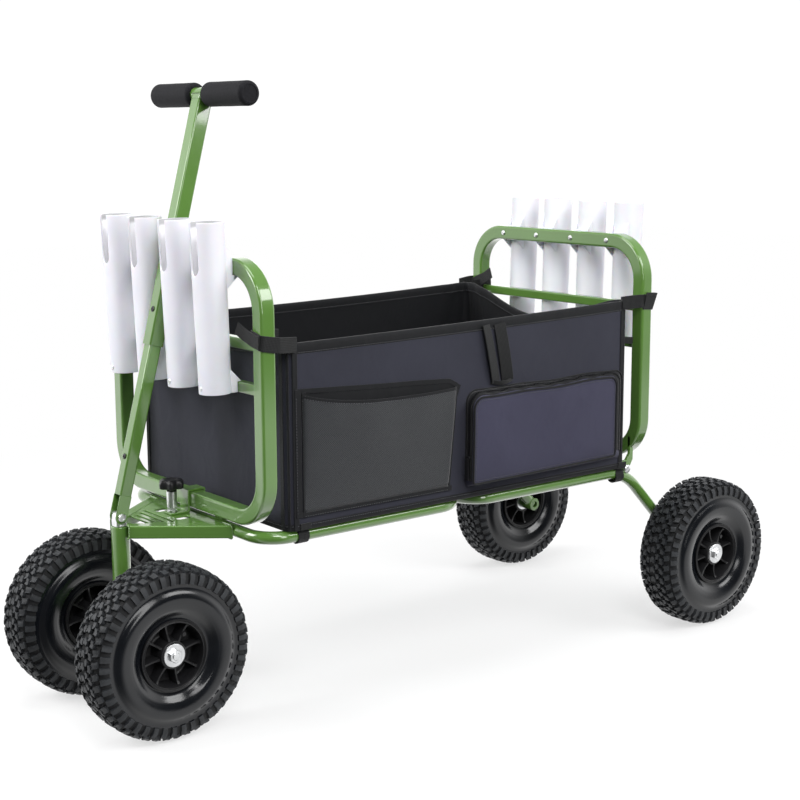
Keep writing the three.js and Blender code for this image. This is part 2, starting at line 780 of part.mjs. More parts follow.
// Rod holders: a leaning tube with a slot down its outer side, on an upper and a lower moulded bracket.
// Built with the end frame's plane at X zero and the outside towards +X.
function rodHolder() {
  const radius = holderDiameter / 2;
  const holderSides = 12;
  const lean = Math.atan((holderStandoffTop - holderStandoffBottom) / holderLength);
  const leaning = (geometry) => geometry.rotateY(lean).translate(holderStandoffBottom, 0, holderBottomZ);
  const axisAt = (z) => holderStandoffBottom + (z - holderBottomZ) * Math.tan(lean);
  const webInset = holderWall / 2;
  const webY = (holderWebSpacing - holderWebThickness) / 2;
  const tubeSideAt = (z) => axisAt(z) - Math.sqrt((radius - webInset) ** 2 - webY ** 2) + webInset;
  const padX = frameHalf + fitGap;
  const upperOutline = [
    [padX, frameTopZ - upperPadHalfHeight],
    [tubeSideAt(frameTopZ), frameTopZ - upperWebHalfHeight],
    [tubeSideAt(frameTopZ), frameTopZ + upperWebHalfHeight],
    [padX, frameTopZ + upperPadHalfHeight],
  ];
  const lowerX = crossbarTube / 2 + fitGap;
  const floorZ = holderBottomZ + fitGap;
  const lowerOutline = [
    [lowerX, floorZ],
    [tubeSideAt(holderBottomZ), floorZ],
    [tubeSideAt(holderBottomZ), holderBottomZ + lowerWebHeight],
    [lowerX, holderBottomZ + lowerPadHeight],
  ];
  const webs = [upperOutline, lowerOutline].flatMap((outline) => [-webY, webY].map(
    (y) => sideSlab(outline, holderWebThickness, y),
  ));
  const upperPad = new THREE.BoxGeometry(holderWebThickness, holderWebSpacing, 2 * upperPadHalfHeight);
  upperPad.translate(padX + holderWebThickness / 2, 0, frameTopZ);
  const lowerPad = new THREE.BoxGeometry(holderWebThickness, holderWebSpacing, lowerPadHeight - fitGap);
  lowerPad.translate(lowerX + holderWebThickness / 2, 0, floorZ + (lowerPadHeight - fitGap) / 2);
  const body = joined(leaning(bar(radius, 0, holderLength, holderSides)), ...webs, upperPad, lowerPad);
  const hollow = leaning(bar(radius - holderWall, -cutOverrun, holderLength + cutOverrun, holderSides));
  const slotBottom = holderLength - holderSlotLength;
  const slot = new THREE.BoxGeometry(radius, holderSlotWidth, holderSlotLength + cutOverrun);
  slot.translate(radius, 0, slotBottom + (holderSlotLength + cutOverrun) / 2);
  const slotEnd = alongX(bar(holderSlotWidth / 2, radius / 2, radius + radius / 2, 8));
  slotEnd.translate(0, 0, slotBottom);
  return cut(body, hollow, leaning(slot), leaning(slotEnd));
}

for (const [name, side] of [['front', 1], ['rear', -1]]) {
  rodHolderYs.forEach((y, i) => {
    const stand = new THREE.Group();
    stand.position.set(side * endFrameX, y, 0);
    stand.rotation.z = side > 0 ? 0 : Math.PI;
    trolley.add(stand);
    place(`rod_holder_${name}_${i + 1}`, rodHolder(), whitePlastic, stand);
  });
}

// Drawbar: two square tubes from the front cross-member to the head tube, and a slotted gusset

const tailX = frontCrossMemberX + bedTubeRadius + fitGap;
const drawbarAngle = Math.atan2(drawbarTailY - drawbarHeadY, headX - tailX);
const drawbarHalf = drawbarTube / 2;

function drawbarTubeGeometry(side) {
  const along = vec(-Math.cos(drawbarAngle), side * Math.sin(drawbarAngle), 0);
  const head = vec(headX, side * drawbarHeadY, bedHeight).addScaledVector(along, -drawbarTube);
  const tail = vec(tailX, side * drawbarTailY, bedHeight).addScaledVector(along, 2 * drawbarTube);
  const path = bentPath([head, tail], [0, 0], false);
  const outer = squareSection(drawbarTube, drawbarTubeCorner);
  const tube = hollowTube(path, outer, plainSquare(drawbarTube - 2 * drawbarWall), upZ, false);
  const headCutter = bore(headTubeRadius + fitGap, 0, frameTopZ, 16).translate(headX, 0, 0);
  const beyond = 3 * drawbarTube;
  const tailCutter = new THREE.BoxGeometry(beyond, 2 * postY, beyond);
  tailCutter.translate(tailX - beyond / 2, 0, bedHeight);
  const farSide = new THREE.BoxGeometry(2 * beyond, beyond, beyond);
  farSide.translate(headX, side * (fitGap / 2 - beyond / 2), bedHeight);
  const noseCutter = new THREE.BoxGeometry(beyond, 2 * postY, beyond);
  noseCutter.translate(headX + fitGap + beyond / 2, 0, bedHeight);
  return cut(tube, headCutter, tailCutter, farSide, noseCutter);
}

// The gusset is flush with the tubes' tops; its slots run across the cart and its windows flank the stud
function gusset() {
  const inset = (drawbarHalf + fitGap) / Math.sin(drawbarAngle);
  const edgeY = (x) => (headX + drawbarHeadY / Math.tan(drawbarAngle) - inset - x) * Math.tan(drawbarAngle);
  const tipX = headX - headTubeRadius - drawbarTube;
  const [tailEdge, tipEdge] = [edgeY(tailX), edgeY(tipX)];
  const outline = [[tailX, -tailEdge], [tipX, -tipEdge], [tipX, tipEdge], [tailX, tailEdge]];
  const topZ = bedHeight + drawbarHalf - fitGap;
  const plate = slab(outline, topZ - gussetThickness, topZ);
  const [cutFrom, cutTo] = [topZ - gussetThickness - cutOverrun, topZ + cutOverrun];
  const firstSlotX = studX + gussetWindowLength / 2 + gussetSlotPitch;
  const slots = Array.from({ length: gussetSlotCount }, (_, i) => {
    const x = firstSlotX + i * gussetSlotPitch;
    const length = 2 * (edgeY(x + gussetSlotWidth / 2) - gussetSlotInset);
    return slab([
      [x - gussetSlotWidth / 2, -length / 2],
      [x + gussetSlotWidth / 2, -length / 2],
      [x + gussetSlotWidth / 2, length / 2],
      [x - gussetSlotWidth / 2, length / 2],
    ], cutFrom, cutTo);
  });
  const windows = [-1, 1].map((side) => slab(roundedRectangle(
    gussetWindowLength,
    gussetWindowWidth,
    gussetSlotWidth,
    studX,
    side * gussetWindowY,
  ), cutFrom, cutTo));
  const studHole = bore(studDiameter / 2 + fitGap, cutFrom, cutTo).translate(studX, 0, 0);
  return cut(plate, ...slots, ...windows, studHole);
}

function headTube() {
  const bottom = headTubeTopZ - headTubeLength;
  const outer = bar(headTubeRadius, bottom, headTubeTopZ, 16);
  const hole = bore(stemRadius + fitGap, bottom - cutOverrun, headTubeTopZ + cutOverrun);
  return cut(outer, hole).translate(headX, 0, 0);
}

// The saddle lies over the end frame's bottom bar, and its foot lies on the gusset under the knob
function saddle() {
  const innerBack = endFrameX - frameHalf - fitGap;
  const innerFront = endFrameX + frameHalf + fitGap;
  const roof = frameBottomZ + frameHalf + fitGap;
  const footTop = bedTopZ + saddleThickness;
  const footEnd = innerFront + saddleThickness + saddleFootLength;
  const outline = [
    [innerBack - saddleThickness, footTop],
    [innerBack, footTop],
    [innerBack, roof],
    [innerFront, roof],
    [innerFront, bedTopZ],
    [footEnd, bedTopZ],
    [footEnd, footTop],
    [innerFront + saddleThickness, footTop],
    [innerFront + saddleThickness, roof + saddleThickness],
    [innerBack - saddleThickness, roof + saddleThickness],
  ];
  const body = sideSlab(outline, saddleWidth, 0);
  const hole = bore(studDiameter / 2 + fitGap, bedTopZ - cutOverrun, footTop + cutOverrun);
  return cut(body, hole.translate(studX, 0, 0));
}

place('drawbar_tube_left', drawbarTubeGeometry(1), greenPaint);
place('drawbar_tube_right', drawbarTubeGeometry(-1), greenPaint);
place('drawbar_gusset', gusset(), greenPaint);
place('head_tube', headTube(), greenPaint);
place('frame_saddle', saddle(), greenPaint);

// Clamp knob: a lobed plastic head on a steel stud
function knobGeometry() {
  const steps = 6 * knobLobes;
  const middle = knobDiameter / 2 - knobLobeDepth;
  const outline = Array.from({ length: steps }, (_, i) => {
    const angle = (i / steps) * 2 * Math.PI;
    const radius = middle + knobLobeDepth * Math.cos(knobLobes * angle);
    return [radius * Math.cos(angle), radius * Math.sin(angle)];
  });
  const body = slab(outline, knobTopZ - knobHeight, knobTopZ);
  const socketTop = knobTopZ - knobHeight / 2;
  const socket = bore(studDiameter / 2 + fitGap, knobTopZ - knobHeight - cutOverrun, socketTop);
  return cut(body, socket).translate(studX, 0, 0);
}

function studGeometry() {
  const top = knobTopZ - knobHeight / 2 - fitGap;
  const washerBottom = bedTopZ + saddleThickness + fitGap;
  const washer = bar(studDiameter, washerBottom, washerBottom + saddleThickness, 12);
  return joined(bar(studDiameter / 2, top - studLength, top, 12), washer).translate(studX, 0, 0);
}
place('clamp_knob', knobGeometry(), blackPlastic);
place('clamp_stud', studGeometry(), zincSteel);

// Steering stem: it turns in the head tube, and its collar carries the head tube's lower end
const headTubeBottomZ = headTubeTopZ - headTubeLength;
const lugBaseZ = headTubeTopZ + fitGap;

function stemGeometry() {
  const bottom = axleZ + axleTubeRadius + fitGap;
  const collarTop = headTubeBottomZ - fitGap;
  const profile = [
    [stemRadius - stemWall, bottom],
    [stemRadius, bottom],
    [stemRadius, collarTop - collarThickness],
    [headTubeRadius, collarTop - collarThickness],
    [headTubeRadius, collarTop],
    [stemRadius, collarTop],
    [stemRadius, headTubeTopZ],
    [stemRadius - stemWall, headTubeTopZ],
  ];
  return turned(profile, 12).translate(headX, 0, 0);
}

const pivotX = headX + pivotForward;

function lugGeometry() {
  const base = bar(stemRadius, lugBaseZ, lugBaseZ + lugBaseThickness, 16).translate(headX, 0, 0);
  const half = lugWidth / 2;
  const tongue = new THREE.BoxGeometry(lugWidth, lugWidth, pivotZ - lugBaseZ);
  tongue.translate(pivotX, 0, (pivotZ + lugBaseZ) / 2);
  const crown = alongY(bar(half, -half, half, 16)).translate(pivotX, 0, pivotZ);
  const hole = alongY(bore(pivotDiameter / 2 + fitGap, -lugWidth, lugWidth));
  return cut(joined(base, tongue, crown), hole.translate(pivotX, 0, pivotZ));
}
place('steering_stem', stemGeometry(), greenPaint);
place('steering_lug', lugGeometry(), zincSteel);

// Handle: built upright from its pivot, then leaned back until it rests on the front end frame's top bar
const barFrontX = endFrameX + frameHalf;
const barTopZ = frameTopZ + frameHalf;
const leanDistance = Math.hypot(pivotX - barFrontX, barTopZ - pivotZ);
const handleLean = Math.atan2(pivotX - barFrontX, barTopZ - pivotZ)
  - Math.asin((upperTubeHalf + fitGap) / leanDistance);
const handle = new THREE.Group();
handle.position.set(pivotX, 0, pivotZ);
handle.rotation.y = -handleLean;
trolley.add(handle);

function lowerHandleTube() {
  const topZ = upperTubeStart + tubeOverlap;
  const path = bentPath([vec(0, 0, -lowerTube), vec(0, 0, topZ)], [0, 0], false);
  const inner = lowerTube - 2 * handleWall;
  const upX = vec(1, 0, 0);
  const tube = hollowTube(path, squareSection(lowerTube, handleTubeCorner), plainSquare(inner), upX, false);
  const foot = new THREE.BoxGeometry(2 * lowerTube, 2 * lowerTube, lowerTube + cutOverrun);
  foot.translate(0, 0, -(lowerTube + cutOverrun) / 2);
  const footRound = alongY(bar(lowerTubeHalf, -lowerTube, lowerTube, 16));
  const footCutter = cut(foot, footRound);
  const notch = new THREE.BoxGeometry(lowerTube, inner, handleNotch + lowerTube);
  notch.translate(lowerTubeHalf, 0, (handleNotch - lowerTube) / 2);
  const heel = new THREE.BoxGeometry(lowerTube, inner, lowerTube);
  heel.translate(-lowerTubeHalf, 0, -lowerTubeHalf);
  const hole = alongY(bore(pivotDiameter / 2 + fitGap, -lowerTube, lowerTube));
  return cut(tube, footCutter, notch, heel, hole);
}

function upperHandleTube() {
  const top = handleReach;
  const path = bentPath([vec(0, 0, upperTubeStart), vec(0, 0, top)], [0, 0], false);
  const upX = vec(1, 0, 0);
  const inner = plainSquare(upperTube - 2 * handleWall);
  const tube = hollowTube(path, squareSection(upperTube, handleTubeCorner), inner, upX, false);
  const saddleCut = alongY(bore(crossTubeDiameter / 2 + fitGap, -upperTube, upperTube, 16));
  return cut(tube, saddleCut.translate(0, 0, handleReach));
}

function crossTube() {
  const half = crossTubeLength / 2;
  const outer = bar(crossTubeDiameter / 2, -half, half, 16);
  const hollow = bar(crossTubeDiameter / 2 - handleWall, -half - cutOverrun, half + cutOverrun, 10);
  return alongY(cut(outer, hollow)).translate(0, 0, handleReach);
}

// Foam grip: rounded at both ends, with a closed outer end over the tube
function gripGeometry(side) {
  const outer = gripDiameter / 2;
  const boreRadius = (crossTubeDiameter / 2 + fitGap) / Math.cos(Math.PI / 12);
  const end = crossTubeLength / 2 + gripEndRadius;
  const start = end - gripLength;
  const round = (z, towards) => [0, 0.5, 1].map((share) => {
    const angle = (share * Math.PI) / 2;
    return [outer - gripEndRadius * (1 - Math.cos(angle)), z + towards * gripEndRadius * Math.sin(angle)];
  });
  const profile = [
    [boreRadius, start],
    ...round(start + gripEndRadius, -1).reverse(),
    ...round(end - gripEndRadius, 1),
    [0, end],
    [0, crossTubeLength / 2 + fitGap],
    [boreRadius, crossTubeLength / 2 + fitGap],
  ];
  return turned(profile, 12).rotateX((-side * Math.PI) / 2).translate(0, 0, handleReach);
}

function pivotBolt() {
  const half = lowerTubeHalf + fitGap;
  const end = half + pivotHeadThickness;
  const bolt = joined(
    bar(pivotDiameter / 2, -end, end, 12),
    bar(pivotHeadDiameter / 2, half, end, 12),
    bar(pivotHeadDiameter / 2, -end, -half, 6),
  );
  return alongY(bolt);
}

place('handle_lower_tube', lowerHandleTube(), greenPaint, handle);
place('handle_upper_tube', upperHandleTube(), greenPaint, handle);
place('handle_cross_tube', crossTube(), greenPaint, handle);
place('grip_left', gripGeometry(1), blackFoam, handle);
place('grip_right', gripGeometry(-1), blackFoam, handle);
place('handle_pivot_bolt', pivotBolt(), zincSteel, handle);

// Basket: an open fabric box on the bed, held to the four posts by straps
function basket() {
  const outer = slab(roundedRectangle(basketLength, basketWidth, basketCorner), basketBottomZ, basketTopZ);
  const [innerLength, innerWidth] = [basketLength - 2 * basketWall, basketWidth - 2 * basketWall];
  const innerShape = roundedRectangle(innerLength, innerWidth, basketCorner - basketWall);
  return cut(outer, slab(innerShape, basketBottomZ + basketWall, basketTopZ + cutOverrun));
}

function cornerStrap(sideX, sideY) {
  const [back, front] = [endFrameX - frameHalf - fitGap, endFrameX + frameHalf + fitGap];
  const outside = postY + frameHalf + fitGap;
  const inside = postY - frameHalf;
  const tabY = basketWidth / 2 - basketCorner;
  const basketEnd = basketLength / 2 + fitGap;
  const outline = [
    [basketEnd, tabY],
    [back, tabY],
    [back, outside],
    [front, outside],
    [front, inside],
    [front + strapThickness, inside],
    [front + strapThickness, outside + strapThickness],
    [back - strapThickness, outside + strapThickness],
    [back - strapThickness, tabY + strapThickness],
    [basketEnd, tabY + strapThickness],
  ];
  const placed = outline.map(([x, y]) => [sideX * x, sideY * y]);
  const ordered = sideX * sideY > 0 ? placed : placed.reverse();
  return slab(ordered, strapTopZ - strapWidth, strapTopZ);
}

const basketSideY = basketWidth / 2 + fitGap;

// Mesh pocket: a sheet sewn down at its sides and bottom, standing off and sagging at its open top
function meshPocket() {
  const columns = 10;
  const rows = 4;
  const rings = [];
  for (let column = 0; column <= columns; column++) {
    const along = column / columns;
    const arch = Math.sin(Math.PI * along);
    const x = meshPocketX - meshPocketLength / 2 + along * meshPocketLength;
    const topZ = meshPocketTopZ - meshPocketSag * arch;
    const front = [];
    const back = [];
    for (let row = 0; row <= rows; row++) {
      const up = row / rows;
      const z = meshPocketBottomZ + up * (topZ - meshPocketBottomZ);
      const y = basketSideY + meshPocketDepth * Math.sqrt(arch) * Math.sin((up * Math.PI) / 2);
      front.push(vec(x, y + meshPocketSheet, z));
      back.push(vec(x, y, z));
    }
    rings.push([...front, ...back.reverse()]);
  }
  return loft(rings);
}

// Zip pocket: a padded pouch with rounded upper corners
function zipPocket() {
  const half = zipPocketLength / 2 - zipPocketBevel;
  const low = zipPocketBottomZ + zipPocketBevel;
  const high = zipPocketBottomZ + zipPocketHeight - zipPocketBevel;
  const shape = new THREE.Shape();
  shape.moveTo(-half, low);
  shape.lineTo(half, low);
  const [cornerX, cornerZ] = [half - zipPocketCorner, high - zipPocketCorner];
  shape.absarc(cornerX, cornerZ, zipPocketCorner, 0, Math.PI / 2, false);
  shape.absarc(-cornerX, cornerZ, zipPocketCorner, Math.PI / 2, Math.PI, false);
  const pouch = new THREE.ExtrudeGeometry(shape, {
    depth: zipPocketDepth,
    bevelThickness: zipPocketBevel,
    bevelSize: zipPocketBevel,
    bevelSegments: 2,
    curveSegments: 6,
  });
  pouch.rotateX(Math.PI / 2).rotateZ(Math.PI);
  const back = new THREE.BoxGeometry(2 * zipPocketLength, 2 * zipPocketDepth, 2 * basketTopZ);
  back.translate(0, -zipPocketDepth, basketTopZ);
  return cut(pouch, back).translate(zipPocketX, basketSideY, 0);
}

place('basket', basket(), darkFabric);
place('mesh_pocket', meshPocket(), webbing);
place('zip_pocket', zipPocket(), pocketFabric);
for (const [endName, sideX] of [['front', 1], ['rear', -1]]) {
  for (const [sideName, sideY] of [['left', 1], ['right', -1]]) {
    place(`strap_${endName}_${sideName}`, cornerStrap(sideX, sideY), webbing);
  }
}

export default trolley;
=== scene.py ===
import bmesh
import bpy
import numpy as np
from mathutils import Matrix


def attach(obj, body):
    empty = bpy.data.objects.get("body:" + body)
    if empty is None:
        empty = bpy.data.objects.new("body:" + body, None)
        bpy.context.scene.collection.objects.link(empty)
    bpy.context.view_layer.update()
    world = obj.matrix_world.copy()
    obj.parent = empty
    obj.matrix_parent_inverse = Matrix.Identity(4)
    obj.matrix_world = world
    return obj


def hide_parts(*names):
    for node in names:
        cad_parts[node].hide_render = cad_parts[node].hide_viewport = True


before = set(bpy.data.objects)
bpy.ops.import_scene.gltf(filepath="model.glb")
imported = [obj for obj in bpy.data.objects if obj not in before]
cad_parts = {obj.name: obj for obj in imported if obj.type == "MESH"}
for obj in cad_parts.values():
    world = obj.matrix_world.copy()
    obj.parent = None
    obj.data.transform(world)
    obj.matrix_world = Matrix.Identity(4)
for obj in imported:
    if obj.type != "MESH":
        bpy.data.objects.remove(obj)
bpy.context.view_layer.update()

# Camera
# It stands to the trolley's front left, a little above the basket, as the photograph was taken. Its
# place, aim and lens come from the same fit as the trolley's size.
camera_place = np.array([1.6044, 2.0650, 0.8940])
camera_yaw, camera_pitch, camera_roll = np.radians([38.23, 10.0, -0.21])
focal_pixels, picture_pixels, sensor_width = 1552.6, 800, 36
ahead = np.array([
    -np.sin(camera_yaw) * np.cos(camera_pitch),
    -np.cos(camera_yaw) * np.cos(camera_pitch),
    -np.sin(camera_pitch),
])
level_right = np.cross(ahead, [0, 0, 1])
level_right /= np.linalg.norm(level_right)
level_up = np.cross(level_right, ahead)
camera_right = level_right * np.cos(camera_roll) + level_up * np.sin(camera_roll)
camera_up = level_up * np.cos(camera_roll) - level_right * np.sin(camera_roll)
camera_matrix = np.eye(4)
camera_matrix[:3, :3] = np.stack([camera_right, camera_up, -ahead], axis=1)
camera_matrix[:3, 3] = camera_place
camera = bpy.data.objects.new("camera", bpy.data.cameras.new("camera"))
camera.data.lens = focal_pixels / picture_pixels * sensor_width
camera.data.sensor_width = sensor_width
bpy.context.scene.collection.objects.link(camera)
camera.matrix_world = Matrix(camera_matrix)
bpy.context.scene.camera = camera

# Studio
# A plain white floor and backdrop, and soft lights on the pocket side, in front, overhead and behind.
# The room is dark on the camera's side, which keeps the glossy pieces deep in colour between lights.
# The floor is clear from below, so that the underside can be looked at.
bpy.context.scene.view_settings.view_transform = "Standard"


def tree_of(holder):
    """The node tree of a material or world, emptied, and a new output node for it."""
    holder.use_nodes = True
    tree = holder.node_tree
    tree.nodes.clear()
    kind = "ShaderNodeOutputWorld" if isinstance(holder, bpy.types.World) else "ShaderNodeOutputMaterial"
    return tree, tree.nodes.new(kind)


def wire(tree, kind, inputs=(), **settings):
    """Adds a node, sets its properties, and feeds its inputs with values or with other sockets."""
    node = tree.nodes.new("ShaderNode" + kind)
    for name, value in settings.items():
        setattr(node, name, value)
    for name, value in dict(inputs).items():
        if isinstance(value, bpy.types.NodeSocket):
            tree.links.new(value, node.inputs[name])
        else:
            node.inputs[name].default_value = value
    return node


def unit(ways):
    """The same directions at length one."""
    return ways / np.linalg.norm(ways, axis=-1, keepdims=True)


def maths(tree, kind, *values):
    """One arithmetic step on values or sockets."""
    return wire(tree, "Math", dict(enumerate(values)), operation=kind).outputs[0]


def spread(tree, value, low, high, from_value, to_value, **settings):
    """A value carried from one range to another, and held at that range's ends."""
    limits = {"Value": value, "From Min": low, "From Max": high, "To Min": from_value, "To Max": to_value}
    return wire(tree, "MapRange", limits, **settings).outputs["Result"]


surround = bpy.data.worlds.new("surround")
bpy.context.scene.world = surround
world_tree, world_out = tree_of(surround)
sky_way = wire(world_tree, "TexCoord").outputs["Generated"]
height = wire(world_tree, "SeparateXYZ", {"Vector": sky_way}).outputs["Z"]
to_camera = unit(camera_place * [1, 1, 0])
nearness = wire(world_tree, "VectorMath", {0: sky_way, 1: to_camera},
                operation="DOT_PRODUCT").outputs["Value"]


def fade(value, low, high, from_value, to_value):
    """A smooth change from one value to another as the input goes from low to high."""
    return spread(world_tree, value, low, high, from_value, to_value, interpolation_type="SMOOTHSTEP")


backdrop = maths(world_tree, "MULTIPLY", fade(nearness, -0.25, 0.30, 1.5, 0.07),
                 fade(height, 0.25, 0.85, 1.0, 0.2))
paper = maths(world_tree, "MULTIPLY", fade(nearness, 0.40, 0.85, 1.2, 0.12),
              fade(height, -0.20, -0.12, 1.0, 0.0))
mirrored_room = wire(world_tree, "Background", {
    "Color": (1, 1, 1, 1), "Strength": maths(world_tree, "MAXIMUM", backdrop, paper)})
soft_sky = wire(world_tree, "Background", {
    "Color": (0.97, 0.98, 1, 1), "Strength": fade(height, -0.15, 0.45, 0.05, 0.42)})
white_sky = wire(world_tree, "Background", {"Color": (1, 1, 1, 1), "Strength": 1.05})
ray = wire(world_tree, "LightPath").outputs
matt_sky = wire(world_tree, "MixShader", {
    "Fac": ray["Is Glossy Ray"], 1: soft_sky.outputs[0], 2: mirrored_room.outputs[0]})
seen_sky = wire(world_tree, "MixShader", {
    "Fac": ray["Is Camera Ray"], 1: matt_sky.outputs[0], 2: white_sky.outputs[0]})
world_tree.links.new(seen_sky.outputs[0], world_out.inputs["Surface"])

floor_half, floor_clear, floor_white = 9.0, 0.5, 1.9
floor_mesh = bpy.data.meshes.new("floor")
floor_mesh.from_pydata([(x * floor_half, y * floor_half, 0) for x, y in [(-1, -1), (1, -1), (1, 1), (-1, 1)]],
                       [], [(0, 1, 2, 3)])
floor = bpy.data.objects.new("floor", floor_mesh)
bpy.context.scene.collection.objects.link(floor)
floor.visible_diffuse = False
floor.visible_glossy = False
floor_paper = bpy.data.materials.new("floor_paper")
floor_tree, floor_out = tree_of(floor_paper)
on_floor = wire(floor_tree, "TexCoord").outputs["Object"]
floor_speck = wire(floor_tree, "TexNoise", {"Vector": on_floor, "Scale": 3.0, "Detail": 2.0})
floor_skin = wire(floor_tree, "BsdfDiffuse", {
    "Color": spread(floor_tree, floor_speck.outputs["Fac"], 0, 1, 0.90, 0.93)})
floor_glow = wire(floor_tree, "Emission", {"Color": (1, 1, 1, 1), "Strength": 1.0})
distance = wire(floor_tree, "VectorMath", {0: on_floor}, operation="LENGTH").outputs["Value"]
floor_mix = wire(floor_tree, "MixShader", {
    "Fac": spread(floor_tree, distance, floor_clear, floor_white, 0.62, 1.0), 1: floor_skin.outputs[0],
    2: floor_glow.outputs[0]})
from_below = wire(floor_tree, "MixShader", {
    "Fac": wire(floor_tree, "NewGeometry").outputs["Backfacing"], 1: floor_mix.outputs[0],
    2: wire(floor_tree, "BsdfTransparent").outputs[0]})
floor_tree.links.new(from_below.outputs[0], floor_out.inputs["Surface"])
floor_mesh.materials.append(floor_paper)


def soft_light(name, place, target, size, tall, power):
    """An oblong area light at a place, turned towards a target."""
    lamp = bpy.data.objects.new(name, bpy.data.lights.new(name, "AREA"))
    lamp.data.shape = "RECTANGLE"
    lamp.data.size, lamp.data.size_y, lamp.data.energy = size, tall, power
    toward = unit(np.array(target, float) - np.array(place, float))
    right = unit(np.cross(toward, [0, 0, 1]))
    pose = np.eye(4)
    pose[:3, :3] = np.stack([right, np.cross(right, toward), -toward], axis=1)
    pose[:3, 3] = place
    bpy.context.scene.collection.objects.link(lamp)
    lamp.matrix_world = Matrix(pose)


middle = (0, 0, 0.45)
soft_light("side_light", (-1.5, 2.5, 2.4), middle, 1.9, 1.2, 55)
soft_light("key_light", (1.3, 2.5, 2.9), middle, 1.3, 1.3, 50)
soft_light("strip_light", (0.5, 3.3, 1.5), (0.2, 0, 0.4), 1.0, 1.9, 34)
soft_light("front_light", (2.0, -0.85, 1.45), middle, 1.1, 1.1, 38)
soft_light("top_light", (0.2, 0.0, 3.6), middle, 2.0, 2.0, 55)
soft_light("back_light", (-3.0, -2.4, 2.4), middle, 1.6, 1.6, 22)


# Bed
# Two loops of 20 mm steel tube, bent cold and powder coated. The rear loop's rails run on down into
# the two legs, and the loops are bolted together where they meet in the middle.
mm = 0.001


def bent(corners, radius, closed=False, steps=14):
    """The line through the corners, rounded by arcs: its points in mm and its headings."""
    corners = np.asarray(corners, float)
    points, headings = [], []
    last = len(corners) - 1
    for i, (corner, bend) in enumerate(zip(corners, np.broadcast_to(radius, len(corners)))):
        if not closed and i in (0, last):
            points.append(corner[None])
            headings.append(unit(corners[max(i, 1)] - corners[max(i, 1) - 1])[None])
            continue
        into, out = unit(corner - corners[i - 1]), unit(corners[(i + 1) % (last + 1)] - corner)
        turn = np.arccos(np.clip(into @ out, -1, 1))
        inward = unit(out - into * (out @ into))
        angle = np.linspace(0, turn, steps + 1)[:, None]
        start = corner - into * bend * np.tan(turn / 2)
        points.append(start + bend * (np.sin(angle) * into + (1 - np.cos(angle)) * inward))
        headings.append(np.cos(angle) * into + np.sin(angle) * inward)
    return np.concatenate(points), np.concatenate(headings)


def ring(radius, count=32):
    """A circle of evenly spaced points about the origin."""
    angle = np.arange(count) / count * 2 * np.pi
    return radius * np.stack([np.cos(angle), np.sin(angle)], axis=1)


def squared(width, corner, height=None, steps=5):
    """A rectangle of the given width and height whose corners are arcs of the corner radius.

    A point close to each end of every arc keeps the flat sides flat in the shading.
    """
    half = np.array([width / 2 - corner, (height or width) / 2 - corner])
    near = np.minimum(half * 0.9, 0.5)
    angle = np.linspace(0, np.pi / 2, steps + 1)
    arc = np.stack([np.cos(angle), np.sin(angle)], axis=1) * corner
    turns = [np.array([[c, s], [-s, c]]) for c, s in [(1, 0), (0, 1), (-1, 0), (0, -1)]]
    signs = np.array([[1, 1], [-1, 1], [-1, -1], [1, -1]])
    parts = []
    for k, (turn, sign) in enumerate(zip(turns, signs)):
        first, last = [corner, -near[(k + 1) % 2]], [-near[k % 2], corner]
        parts.append(np.concatenate([[first], arc, [last]]) @ turn + half * sign)
    return np.concatenate(parts)


def sweep(path, section, up):
    """Sets the section square to the path at each point, its second axis as near to up as it can be."""
    points, heading = path
    side = unit(np.cross(heading, up))
    rise = np.cross(side, heading)
    section = np.asarray(section)
    return points[:, None] + section[:, :1] * side[:, None] + section[:, 1:] * rise[:, None]


def surface(points, around=True, closed=False, caps=False, sheet=False):
    """Quads over a grid of points in mm, with texture in metres along its rows and columns.

    around joins the last column to the first, closed the last row to the first. caps fills both ends.
    Anything but a sheet encloses a volume, and is turned to face outwards.
    """
    points = np.asarray(points, float) * mm
    rows, columns = points.shape[:2]
    i, j = np.meshgrid(np.arange(rows - (not closed)), np.arange(columns - (not around)), indexing="ij")
    square = [(i, j), (i, j + 1), (i + 1, j + 1), (i + 1, j)]
    loops = np.stack([(a % rows) * columns + b % columns for a, b in square], axis=-1).reshape(-1)
    run = np.linalg.norm(np.diff(points, axis=0, append=points[:1]), axis=2).mean(axis=1)
    along = np.concatenate([[0], np.cumsum(run)])
    run = np.linalg.norm(np.diff(points, axis=1, append=points[:, :1]), axis=2).mean(axis=0)
    across = np.concatenate([[0], np.cumsum(run)])
    texture = np.stack([np.stack([across[b], along[a]], axis=-1) for a, b in square], axis=2).reshape(-1, 2)
    totals = np.full(i.size, 4)
    vertices = points.reshape(-1, 3)
    if caps:
        first, last = np.arange(columns)[::-1], (rows - 1) * columns + np.arange(columns)
        loops = np.concatenate([loops, first, last])
        totals = np.concatenate([totals, [columns, columns]])
        texture = np.concatenate([texture, vertices[first][:, :2], vertices[last][:, :2]])
    if not sheet:
        corner = vertices[loops[:4 * i.size]].reshape(-1, 4, 3)
        volume = np.einsum("ij,ij->", corner[:, 0], np.cross(corner[:, 1], corner[:, 2]))
        volume += np.einsum("ij,ij->", corner[:, 0], np.cross(corner[:, 2], corner[:, 3]))
        for cap in ([first, last] if caps else []):
            middle = vertices[cap].mean(axis=0)
            edge = np.cross(vertices[cap], np.roll(vertices[cap], -1, axis=0))
            volume += (edge @ middle).sum()
        if volume < 0:
            starts = np.concatenate([[0], np.cumsum(totals)[:-1]])
            order = np.repeat(2 * starts + totals - 1, totals) - np.arange(len(loops))
            loops, texture = loops[order], texture[order]
    return vertices, loops, totals, texture


